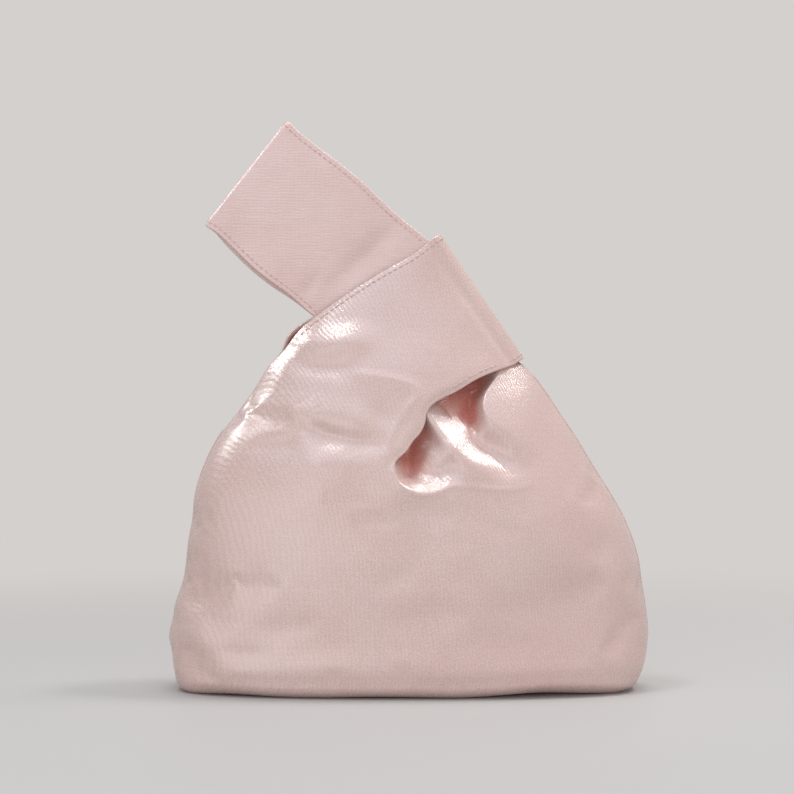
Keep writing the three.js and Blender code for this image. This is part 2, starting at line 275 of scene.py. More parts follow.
@dataclass(frozen=True)
class Mound:
    """A soft round swelling or dent of the cloth.

    Attributes:
        middle: Its middle, across (X) and up (Z).
        spread: How far it spreads both ways.
        rise: Height in the middle, below 0 for a dent.
    """

    middle: Point
    spread: Point
    rise: float

    def at(self, x: Array, z: Array) -> Array:
        """The height to add at places across and up."""
        across, up = x - self.middle[0], z - self.middle[1]
        return self.rise * bell(across, self.spread[0]) * bell(up, self.spread[1])


@dataclass(frozen=True)
class Stretch:
    """A stretch of a line, a height or a distance, with soft ends.

    Attributes:
        begins: Where it begins, and where it is full.
        ends: Where it ends, and where it is still full.
    """

    begins: Point
    ends: Point

    def at(self, place: Array) -> Array:
        """1 within the stretch, 0 beyond its ends."""
        return ease(*self.begins, place) * ease(*self.ends, place)


@dataclass(frozen=True)
class Wave:
    """Even waves of slack cloth.

    Attributes:
        height: Height of the waves.
        across: Length across in which they turn by one radian, below 0 for the other way.
        up: The same for the way up.
        start: Their turn at the origin, in radians.
        shifted: How much they take of a shift, in radians.
    """

    height: float
    across: float
    up: float
    start: float = 0.0
    shifted: float = 1.0

    def at(self, x: Array, z: Array, shift: float) -> Array:
        """The height to add at places across and up."""
        return self.height * np.sin(x / self.across + z / self.up + self.start + self.shifted * shift)


@dataclass(frozen=True)
class SeamPulls:
    """What a side seam pulls into the cloth beside it.

    Attributes:
        wave: Short wrinkles, over the distance from the seam and the height.
        place: Distance of their middle from the seam, and their reach.
        heights: Where they end, and where they are still full.
        tuck: One larger tuck or swelling, over the same two.
    """

    wave: Wave
    place: Point
    heights: Point
    tuck: Mound

    def at(self, gap: Array, z: Array, shift: float) -> Array:
        """The height to add at distances from the seam and heights."""
        near = bell(gap - self.place[0], self.place[1]) * ease(*self.heights, z)
        return near * self.wave.at(gap, z, shift) + self.tuck.at(gap, z)


@dataclass
class Patch:
    """A grid of points that becomes part of a mesh.

    Attributes:
        points: Rows by columns by X, Y and Z.
        outward: False if the faces have to be turned round to face out.
    """

    points: Array
    outward: bool = True


def make_mesh(name: str, patches: Iterable[Patch], weld: float = 0.02) -> bpy.types.Object:
    """Joins patches into one smooth mesh object.

    Args:
        name: Name of the object.
        patches: Grids of points in millimetres, whose shared edges are sewn together.
        weld: Points closer than this become one.

    Returns:
        The object, linked to the scene.
    """
    points: list[Array] = []
    faces: list[tuple[int, ...]] = []
    start = 0
    for patch in patches:
        rows, columns = patch.points.shape[:2]
        index = start + np.arange(rows * columns).reshape(rows, columns)
        corners = [index[:-1, :-1], index[:-1, 1:], index[1:, 1:], index[1:, :-1]]
        quads = np.stack(corners if patch.outward else corners[::-1], axis=-1).reshape(-1, 4)
        faces.extend(map(tuple, quads.tolist()))
        points.append(patch.points.reshape(-1, 3))
        start += rows * columns
    mesh = bpy.data.meshes.new(name)
    mesh.from_pydata((np.concatenate(points) * MM).tolist(), [], faces)
    work = bmesh.new()
    work.from_mesh(mesh)
    bmesh.ops.remove_doubles(work, verts=work.verts, dist=weld * MM)
    bmesh.ops.dissolve_degenerate(work, edges=work.edges, dist=weld * MM)
    work.to_mesh(mesh)
    work.free()
    mesh.shade_smooth()
    made = bpy.data.objects.new(name, mesh)
    bpy.context.scene.collection.objects.link(made)
    return made


def paint(piece: bpy.types.Object, name: str, values: Array) -> None:
    """Stores one number for each point of a mesh, for its material to read."""
    stored = piece.data.attributes.new(name, "FLOAT", "POINT")
    stored.data.foreach_set("value", values.astype(np.float32))


def points_of(piece: bpy.types.Object) -> Array:
    """Reads the points of a mesh.

    Args:
        piece: The object that has the mesh.

    Returns:
        Rows of X, Y and Z, in millimetres.
    """
    flat = np.empty(len(piece.data.vertices) * 3, np.float32)
    piece.data.vertices.foreach_get("co", flat)
    return flat.reshape(-1, 3).astype(float) / MM


def inset(grid: Array, outward: bool, amount: float) -> Array:
    """Moves a grid inwards along its normals, which its own order may or may not turn outward."""
    normal = unit(np.cross(np.gradient(grid, axis=1), np.gradient(grid, axis=0)))
    return grid - normal * (amount if outward else -amount)


def resample(count: int, stations: Array) -> Array:
    """Weights that carry values from a few stations of a row smoothly to all its places.

    Args:
        count: Number of places.
        stations: Places that have values, with the first and the last among them.

    Returns:
        One row of weights for each place.
    """
    place = np.arange(count)
    start = np.clip(np.searchsorted(stations, place, "right") - 1, 0, len(stations) - 2)
    t = (place - stations[start]) / (stations[start + 1] - stations[start])
    cubic = (
        (-t + 2 * t**2 - t**3) / 2,
        (2 - 5 * t**2 + 3 * t**3) / 2,
        (t + 4 * t**2 - 3 * t**3) / 2,
        (t**3 - t**2) / 2,
    )
    weights = np.zeros((count, len(stations)))
    for offset, share in zip((-1, 0, 1, 2), cubic):
        np.add.at(weights, (place, np.clip(start + offset, 0, len(stations) - 1)), share)
    return weights


# Finishes


@dataclass
class Nodes:
    """A node tree under construction, with short ways to add and link its nodes.

    Attributes:
        tree: The material's or group's node tree.
    """

    tree: bpy.types.NodeTree

    def add(self, kind: str, **settings: object) -> bpy.types.Node:
        """Adds a node.

        Args:
            kind: Blender's name of the node type, without ShaderNode.
            settings: Properties of the node, by name.

        Returns:
            The new node.
        """
        node = self.tree.nodes.new("ShaderNode" + kind)
        for key, value in settings.items():
            setattr(node, key, value)
        return node

    def feed(self, node: bpy.types.Node, **values: object) -> bpy.types.Node:
        """Sets or links a node's inputs.

        Args:
            node: The node.
            values: Input names, with _ for a space, or i and a number for the input of that number. Each
                takes either a socket or a plain value.

        Returns:
            The node.
        """
        for key, value in values.items():
            name = key.replace("_", " ")
            socket = node.inputs[int(name[1:])] if name[1:].isdigit() else node.inputs[name]
            if isinstance(value, bpy.types.NodeSocket):
                self.tree.links.new(value, socket)
            else:
                socket.default_value = value
        return node

    def math(self, operation: str, first: object, second: object = 0.0) -> bpy.types.NodeSocket:
        """Works out two values together and gives the result."""
        return self.feed(self.add("Math", operation=operation), i0=first, i1=second).outputs[0]

    def mix(self, share: object, first: object, second: object) -> bpy.types.NodeSocket:
        """Mixes two colours and gives the result."""
        node = self.feed(self.add("Mix", data_type="RGBA"), i0=share, i6=first, i7=second)
        return node.outputs[2]

    def stretch(self, value: bpy.types.NodeSocket, contrast: object) -> bpy.types.NodeSocket:
        """Makes a value stray further from 0.5, within 0 and 1."""
        spread = self.math("MULTIPLY", self.math("SUBTRACT", value, 0.5), contrast)
        return self.feed(self.add("Clamp"), Value=self.math("ADD", spread, 0.5)).outputs[0]

    def group(self, group: bpy.types.NodeTree, **values: object) -> bpy.types.Node:
        """Places a shared effect and sets its inputs."""
        return self.feed(self.add("Group", node_tree=group), **values)


def new_material(name: str) -> tuple[bpy.types.Material, Nodes, bpy.types.Node]:
    """Opens a material.

    Args:
        name: Its name.

    Returns:
        The material, its nodes and its shader.
    """
    made = bpy.data.materials.new(name)
    made.use_nodes = True
    return made, Nodes(made.node_tree), made.node_tree.nodes["Principled BSDF"]


class Effects:
    """The effects that several finishes share, each built once as a node group."""

    def __init__(self) -> None:
        """Builds every effect."""
        self.weave = self._weave()
        self.mottle = self._mottle()
        self.rumple = self._rumple()
        self.grain = self._grain()

    @staticmethod
    def _start(
        name: str, inputs: dict[str, float | None], outputs: Sequence[str]
    ) -> tuple[Nodes, bpy.types.Node, bpy.types.Node]:
        """Opens a new group.

        Args:
            name: Name of the group.
            inputs: Input names and default values, None for the place on the cloth.
            outputs: Output names.

        Returns:
            The nodes, and the group's input and output nodes.
        """
        tree = bpy.data.node_groups.new(name, "ShaderNodeTree")
        for key, value in inputs.items():
            kind = "NodeSocketVector" if value is None else "NodeSocketFloat"
            socket = tree.interface.new_socket(key, in_out="INPUT", socket_type=kind)
            if value is not None:
                socket.default_value = value
        for key in outputs:
            tree.interface.new_socket(key, in_out="OUTPUT", socket_type="NodeSocketFloat")
        return Nodes(tree), tree.nodes.new("NodeGroupInput"), tree.nodes.new("NodeGroupOutput")

    def _weave(self) -> bpy.types.NodeTree:
        """Fine lines of warp and weft, a little uneven, and the tone of single threads.

        Returns:
            The group, with Height and Tone from 0 to 1.
        """
        inputs = {"Place": None, "Warp": 0.0011, "Weft": 0.0016, "Lean": 0.0}
        nodes, start, end = self._start("cloth_weave", inputs, ("Height", "Tone"))
        turned = nodes.add("VectorRotate", rotation_type="Y_AXIS")
        nodes.feed(turned, Vector=start.outputs["Place"], Angle=start.outputs["Lean"])
        parts = nodes.feed(nodes.add("SeparateXYZ"), Vector=turned.outputs[0])
        wander = nodes.feed(nodes.add("TexNoise"), Vector=turned.outputs[0], Scale=160.0, Detail=1.0)
        shift = nodes.math("MULTIPLY", wander.outputs["Fac"], 0.0022)
        across = nodes.math("ADD", nodes.math("ADD", parts.outputs["X"], parts.outputs["Y"]), shift)
        up = nodes.math("ADD", parts.outputs["Z"], shift)
        waves = []
        for place, pitch in ((across, "Warp"), (up, "Weft")):
            turns = nodes.math("DIVIDE", place, start.outputs[pitch])
            waves.append(nodes.math("SINE", nodes.math("MULTIPLY", turns, math.tau)))
        both = nodes.math("ADD", nodes.math("MULTIPLY", waves[0], 0.4), nodes.math("MULTIPLY", waves[1], 0.1))
        streaks = nodes.feed(nodes.add("Mapping"), Vector=turned.outputs[0], Scale=(1500.0, 1500.0, 90.0))
        threads = nodes.feed(nodes.add("TexNoise"), Vector=streaks.outputs[0], Scale=1.0, Detail=2.0)
        nodes.feed(end, Height=nodes.math("ADD", both, 0.5), Tone=threads.outputs["Fac"])
        return nodes.tree

    def _mottle(self) -> bpy.types.NodeTree:
        """Soft patches where the cloth takes the dye and the light unevenly.

        Returns:
            The group, with a Mask from 0 to 1.
        """
        inputs = {"Place": None, "Scale": 24.0, "Contrast": 1.0}
        nodes, start, end = self._start("cloth_mottle", inputs, ("Mask",))
        noise = nodes.feed(
            nodes.add("TexNoise"), Vector=start.outputs["Place"], Scale=start.outputs["Scale"], Detail=4.0
        )
        nodes.feed(end, Mask=nodes.stretch(noise.outputs["Fac"], start.outputs["Contrast"]))
        return nodes.tree

    def _rumple(self) -> bpy.types.NodeTree:
        """Small soft dents of cloth that has been handled.

        Returns:
            The group, with a Height from 0 to 1.
        """
        nodes, start, end = self._start("cloth_rumple", {"Place": None, "Scale": 60.0}, ("Height",))
        noise = nodes.feed(
            nodes.add("TexNoise"),
            Vector=start.outputs["Place"], Scale=start.outputs["Scale"], Detail=2.0, Distortion=0.4,
        )
        nodes.feed(end, Height=noise.outputs["Fac"])
        return nodes.tree

    def _grain(self) -> bpy.types.NodeTree:
        """The glitter of single filaments, which breaks a highlight into specks.

        Returns:
            The group, with a Height and a Dullness from 0 to 1.
        """
        inputs = {"Place": None, "Scale": 1400.0, "Contrast": 3.0}
        nodes, start, end = self._start("cloth_grain", inputs, ("Height", "Dullness"))
        specks = nodes.feed(
            nodes.add("TexNoise"), Vector=start.outputs["Place"], Scale=start.outputs["Scale"], Detail=2.0
        )
        dullness = nodes.stretch(specks.outputs["Fac"], start.outputs["Contrast"])
        nodes.feed(end, Height=specks.outputs["Fac"], Dullness=dullness)
        return nodes.tree


@dataclass(frozen=True)
class ClothFinish:
    """A woven cloth.

    Attributes:
        name: Name of the material.
        pale: Colour of the patches that look lightest.
        deep: Colour of the patches that look deepest.
        painted_fold_shade: Painted shade deep in the folds of a piece whose folds are marked, a deeper red
            for the light that the folds lose, or None.
        roughness: Least and most roughness.
        sheen: Soft light that grazing angles throw back.
        sheen_roughness: How far that light spreads.
        anisotropy: How far highlights are drawn out along the threads.
        specular: Strength of plain reflection.
        ior: Refraction of the threads, high in pearly ones.
        lean: Turn of the threads about Y, in degrees.
        warp: Pitch of the fine lines along the cloth, in millimetres.
        weft: Pitch of the lines across them, as a multiple of that.
        line_tone: How strongly single threads and lines tint the cloth.
        weave_depth: Depth of those lines, in millimetres.
        patch_scale: Patches of colour in a metre.
        patch_contrast: How strongly they stand out.
        rumple_scale: Small dents in a metre.
        rumple_depth: Depth of the small dents, in millimetres.
        grain_scale: Specks of glitter in a metre.
        grain_contrast: How strongly they stand out.
        grain_depth: Depth of the glitter, in millimetres.
    """

    name: str
    pale: Colour
    deep: Colour
    painted_fold_shade: Colour | None = None
    roughness: Point = (0.28, 0.40)
    sheen: float = 0.15
    sheen_roughness: float = 0.45
    anisotropy: float = 0.0
    specular: float = 0.5
    ior: float = 1.5
    lean: float = 0.0
    warp: float = 1.1
    weft: float = 1.45
    line_tone: float = 0.5
    weave_depth: float = 0.02
    patch_scale: float = 22.0
    patch_contrast: float = 1.5
    rumple_scale: float = 58.0
    rumple_depth: float = 0.25
    grain_scale: float = 1700.0
    grain_contrast: float = 3.5
    grain_depth: float = 0.02

    def material(self, effects: Effects) -> bpy.types.Material:
        """Builds the material.

        Args:
            effects: The shared effects.

        Returns:
            The material.
        """
        made, nodes, shader = new_material(self.name)
        place = nodes.add("TexCoord").outputs["Object"]
        warp = self.warp * MM
        weave = nodes.group(
            effects.weave, Place=place, Warp=warp, Weft=warp * self.weft, Lean=math.radians(self.lean)
        )
        patches = nodes.group(
            effects.mottle, Place=place, Scale=self.patch_scale, Contrast=self.patch_contrast
        )
        rumple = nodes.group(effects.rumple, Place=place, Scale=self.rumple_scale)
        grain = nodes.group(effects.grain, Place=place, Scale=self.grain_scale, Contrast=self.grain_contrast)
        depth = patches.outputs["Mask"]
        for key in ("Tone", "Height"):
            strays = nodes.math("SUBTRACT", weave.outputs[key], 0.5)
            depth = nodes.math("ADD", depth, nodes.math("MULTIPLY", strays, self.line_tone))
        held = nodes.feed(nodes.add("Clamp"), Value=depth)
        colour = nodes.mix(held.outputs[0], self.pale, self.deep)
        # Painted shade: deep in the marked folds the colour is mixed towards a deeper red, for the light that
        # the folds lose.
        if self.painted_fold_shade is not None:
            tuck = nodes.add("Attribute", attribute_name=FOLD_SHADE)
            colour = nodes.mix(tuck.outputs["Fac"], colour, self.painted_fold_shade)
        rough = nodes.add("MapRange")
        nodes.feed(rough, Value=grain.outputs["Dullness"], To_Min=self.roughness[0], To_Max=self.roughness[1])
        normal = None
        for height, depth_mm in (
            (rumple.outputs["Height"], self.rumple_depth),
            (weave.outputs["Height"], self.weave_depth),
            (grain.outputs["Height"], self.grain_depth),
        ):
            bump = nodes.feed(nodes.add("Bump"), Height=height, Strength=1.0, Distance=depth_mm * MM)
            if normal is not None:
                nodes.feed(bump, Normal=normal)
            normal = bump.outputs[0]
        nodes.feed(shader, Base_Color=colour, Roughness=rough.outputs[0], Normal=normal)
        nodes.feed(
            shader, Sheen_Weight=self.sheen, Sheen_Roughness=self.sheen_roughness,
            Anisotropic=self.anisotropy, Specular_IOR_Level=self.specular, IOR=self.ior,
        )
        return made


@dataclass(frozen=True)
class ThreadFinish:
    """Twisted sewing thread.

    Attributes:
        name: Name of the material.
        pale: The thread's own colour, on top of the twist.
        deep: Painted shade in its grooves, a darker colour where the twist sinks.
        twist: Pitch of the twist, in millimetres.
        lean: Lean of the twist, in degrees.
        groove: Depth of its grooves, in millimetres.
        roughness: Least and most roughness.
        sheen: Soft light that grazing angles throw back.
        sheen_roughness: How far that light spreads.
    """

    name: str
    pale: Colour
    deep: Colour
    twist: float = 0.8
    lean: float = 35.0
    groove: float = 0.08
    roughness: Point = (0.55, 0.75)
    sheen: float = 0.2
    sheen_roughness: float = 0.5

    def material(self, effects: Effects) -> bpy.types.Material:
        """Builds the material.

        Args:
            effects: The shared effects.

        Returns:
            The material.
        """
        made, nodes, shader = new_material(self.name)
        place = nodes.add("TexCoord").outputs["Object"]
        pitch = self.twist * MM
        weave = nodes.group(
            effects.weave, Place=place, Warp=pitch, Weft=pitch, Lean=math.radians(self.lean)
        )
        height = weave.outputs["Height"]
        # Painted shade: the grooves of the twist take the darker colour.
        colour = nodes.mix(height, self.deep, self.pale)
        bump = nodes.feed(nodes.add("Bump"), Height=height, Strength=1.0, Distance=self.groove * MM)
        rough = nodes.add("MapRange")
        nodes.feed(rough, Value=weave.outputs["Tone"], To_Min=self.roughness[0], To_Max=self.roughness[1])
        nodes.feed(shader, Base_Color=colour, Roughness=rough.outputs[0], Normal=bump.outputs[0])
        nodes.feed(shader, Sheen_Weight=self.sheen, Sheen_Roughness=self.sheen_roughness)
        return made


@dataclass
class Wardrobe:
    """Every material of the bag.

    Attributes:
        effects: The effects that they share.
        satin: Satin of the body and the short handle.
        strap_satin: Satin of the long handle, whose threads run across it. Its base colour is the
        satin's own, lightened with painted sheen for the reflection that its lower specular gives up.
        lining: Lining of the body and both handles.
        thread: Thread of the seams and the topstitching.
    """

    effects: Effects = field(default_factory=Effects)
    satin: bpy.types.Material = field(init=False)
    strap_satin: bpy.types.Material = field(init=False)
    lining: bpy.types.Material = field(init=False)
    thread: bpy.types.Material = field(init=False)

    def __post_init__(self) -> None:
        """Builds the materials."""
        # The body's satin carries painted shade: a deeper red that is mixed in deep in the knot's folds.
        body = ClothFinish(
            "pearl_satin", pale=srgb(214, 185, 179), deep=srgb(204, 169, 161), painted_fold_shade=srgb(224, 146, 133),
            roughness=(0.08, 0.44), anisotropy=0.3, specular=1.0, ior=1.75,
            grain_depth=0.10, weave_depth=0.05, rumple_depth=0.17, warp=1.9,
        )
        # The long handle's base colour is lighter than the body's: its own satin colour plus painted sheen,
        # for the reflection that its lower specular gives up.
        strap = replace(
            body, name="pearl_satin_handle", pale=srgb(233, 207, 203), deep=srgb(214, 181, 175),
            painted_fold_shade=None, lean=90.0, roughness=(0.2, 0.5), specular=0.6, ior=1.6,
            grain_depth=0.05, weave_depth=0.03, warp=1.4,
        )
        lining = ClothFinish(
            "pink_lining", pale=srgb(205, 150, 140), deep=srgb(190, 128, 118), roughness=(0.55, 0.7),
            sheen=0.1, specular=0.3, rumple_depth=0.2, grain_depth=0.0,
        )
        thread = ThreadFinish("pink_thread", pale=srgb(226, 196, 190), deep=srgb(204, 162, 154))
        self.satin = body.material(self.effects)
        self.strap_satin = strap.material(self.effects)
        self.lining = lining.material(self.effects)
        self.thread = thread.material(self.effects)


def dress(
    piece: bpy.types.Object, material: bpy.types.Material, slot: Slot, body: Body | None, *nodes: str
) -> bpy.types.Object:
    """Gives a piece its finish and its place in the frame.

    Args:
        piece: The piece.
        material: Its material.
        slot: The record's slot for that material; not used.
        body: The body that carries it, or None if it spans two bodies, which leaves it without one.
        nodes: CAD nodes that it stands for.

    Returns:
        The piece.
    """
    piece.data.materials.append(material)
    if body is not None:
        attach(piece, body.value)
    if nodes:
        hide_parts(*nodes)
    LOG.info("%s: %d faces", piece.name, len(piece.data.polygons))
    return piece


def thicken(piece: bpy.types.Object, wall: float) -> None:
    """Gives an open sheet its thickness, towards the inside, and keeps it above the table.

    Args:
        piece: The sheet.
        wall: Its thickness, in millimetres.
    """
    solidify = piece.modifiers.new("wall", "SOLIDIFY")
    solidify.thickness = wall * MM
    solidify.offset = -1.0
    solid = bpy.data.meshes.new_from_object(piece.evaluated_get(bpy.context.evaluated_depsgraph_get()))
    piece.modifiers.clear()
    for vertex in solid.vertices:
        vertex.co.z = max(vertex.co.z, 0.0)
    piece.data = solid


@dataclass(frozen=True)
class Settling:
    """A short cloth simulation that lets sewn cloth pucker and sag.

    Attributes:
        stride: How many rows and columns of the finished mesh make one of the sheet that is simulated.
        frames: Steps of the simulation.
        quality: Smaller steps within each of them.
        stretch: Stiffness against stretching and crushing.
        shear: Stiffness against shearing.
        bending: Stiffness against bending.
        pressure: How hard the filling pushes out.
        spare: Extra length of the cloth everywhere, as a share.
        gathered: Extra length where it is gathered into a seam.
        reach: The furthest that a point may move, in millimetres.
    """

    stride: int = 3
    frames: int = 20
    quality: int = 6
    stretch: float = 15.0
    shear: float = 5.0
    bending: float = 1.5
    pressure: float = 1.0
    spare: float = 0.003
    gathered: float = 0.05
    reach: float = 3.5

    def run(self, piece: bpy.types.Object, hold: Array, gather: Array) -> Array:
        """Settles a sheet.

        Args:
            piece: An open sheet.
            hold: How firmly each point is held, from 0 to 1.
            gather: How much each point takes of the extra length at the seams, from 0 to 1.

        Returns:
            How far each point moved, in millimetres.
        """
        before = points_of(piece)
        for name, weights in (("hold", hold), ("gather", gather)):
            group = piece.vertex_groups.new(name=name)
            for index, weight in enumerate(weights):
                group.add([index], float(weight), "REPLACE")
        cloth = piece.modifiers.new("settle", "CLOTH")
        rules = cloth.settings
        rules.quality = self.quality
        rules.tension_stiffness = rules.compression_stiffness = self.stretch
        rules.shear_stiffness = self.shear
        rules.bending_stiffness = self.bending
        rules.vertex_group_mass = "hold"
        rules.vertex_group_shrink = "gather"
        rules.shrink_min, rules.shrink_max = -self.spare, -self.gathered
        rules.use_pressure = True
        rules.uniform_pressure_force = self.pressure
        rules.effector_weights.gravity = 0.0
        cloth.collision_settings.use_collision = False
        cloth.point_cache.frame_end = self.frames
        scene = bpy.context.scene
        for step in range(1, self.frames + 1):
            scene.frame_set(step)
        settled = piece.evaluated_get(bpy.context.evaluated_depsgraph_get()).data
        after = np.empty(len(settled.vertices) * 3)
        settled.vertices.foreach_get("co", after)
        moved = after.reshape(-1, 3) / MM - before
        length = np.linalg.norm(moved, axis=1, keepdims=True)
        moved *= self.reach * np.tanh(length / self.reach) / np.maximum(length, TINY)
        scene.frame_set(1)
        LOG.info("%s: %d points settled by %.2f mm at most", piece.name, len(moved), float(length.max()))
        return moved


# Stitches


@dataclass(frozen=True)
class Topstitch:
    """A row of machine stitches that lie on the cloth.

    Attributes:
        pitch: Distance from one stitch to the next.
        length: Length of the thread that shows.
        width: Width of the thread.
        height: How far it stands out of the cloth.
        steps: Rings of points along a stitch.
        around: Sides of the thread.
        blunt: Least share of the thread's thickness at a stitch's ends, squared.
    """

    pitch: float = 3.0
    length: float = 2.3
    width: float = 0.9
    height: float = 0.45
    steps: int = 7
    around: int = 8
    blunt: float = 0.02

    def patches(self, path: Array, normals: Array) -> list[Patch]:
        """Lays stitches along a path.

        Args:
            path: Points on the cloth, in millimetres.
            normals: The way out of the cloth at each point.

        Returns:
            One closed grid for each stitch.
        """
        length = lengths(path)
        taper = np.sqrt(np.maximum(1 - np.linspace(-1, 1, self.steps) ** 4, self.blunt))[:, None, None]
        turn = np.linspace(0, math.tau, self.around + 1)[None, :, None]
        made: list[Patch] = []
        for middle in np.arange(self.pitch / 2, length[-1], self.pitch):
            spots = np.linspace(middle - self.length / 2, middle + self.length / 2, self.steps)
            spots = np.clip(spots, 0, length[-1])
            core = follow(path, length, spots)
            out = unit(follow(normals, length, spots))
            side = np.cross(unit(np.gradient(core, axis=0)), out)
            ring = (
                side[:, None] * np.cos(turn) * self.width / 2
                + out[:, None] * (np.sin(turn) * self.height)
            )
            made.append(Patch(core[:, None] + ring * taper))
        return made


def tube(path: Array, radius: float, around: int = 8) -> Patch:
    """A round cord along a path, closed at both ends.

    Args:
        path: Points in millimetres.
        radius: Radius of the cord.
        around: Number of its sides.

    Returns:
        The grid of points.
    """
    run = unit(np.gradient(path, axis=0))
    first = unit(np.cross(run, [0.0, 1.0, 0.0]))
    second = np.cross(run, first)
    turn = np.linspace(0, math.tau, around + 1)[None, :, None]
    size = np.full((len(path), 1, 1), radius)
    size[0] = size[-1] = 0.0
    ring = first[:, None] * np.cos(turn) + second[:, None] * np.sin(turn)
    return Patch(path[:, None] + ring * size)


# Pouch with its short handle


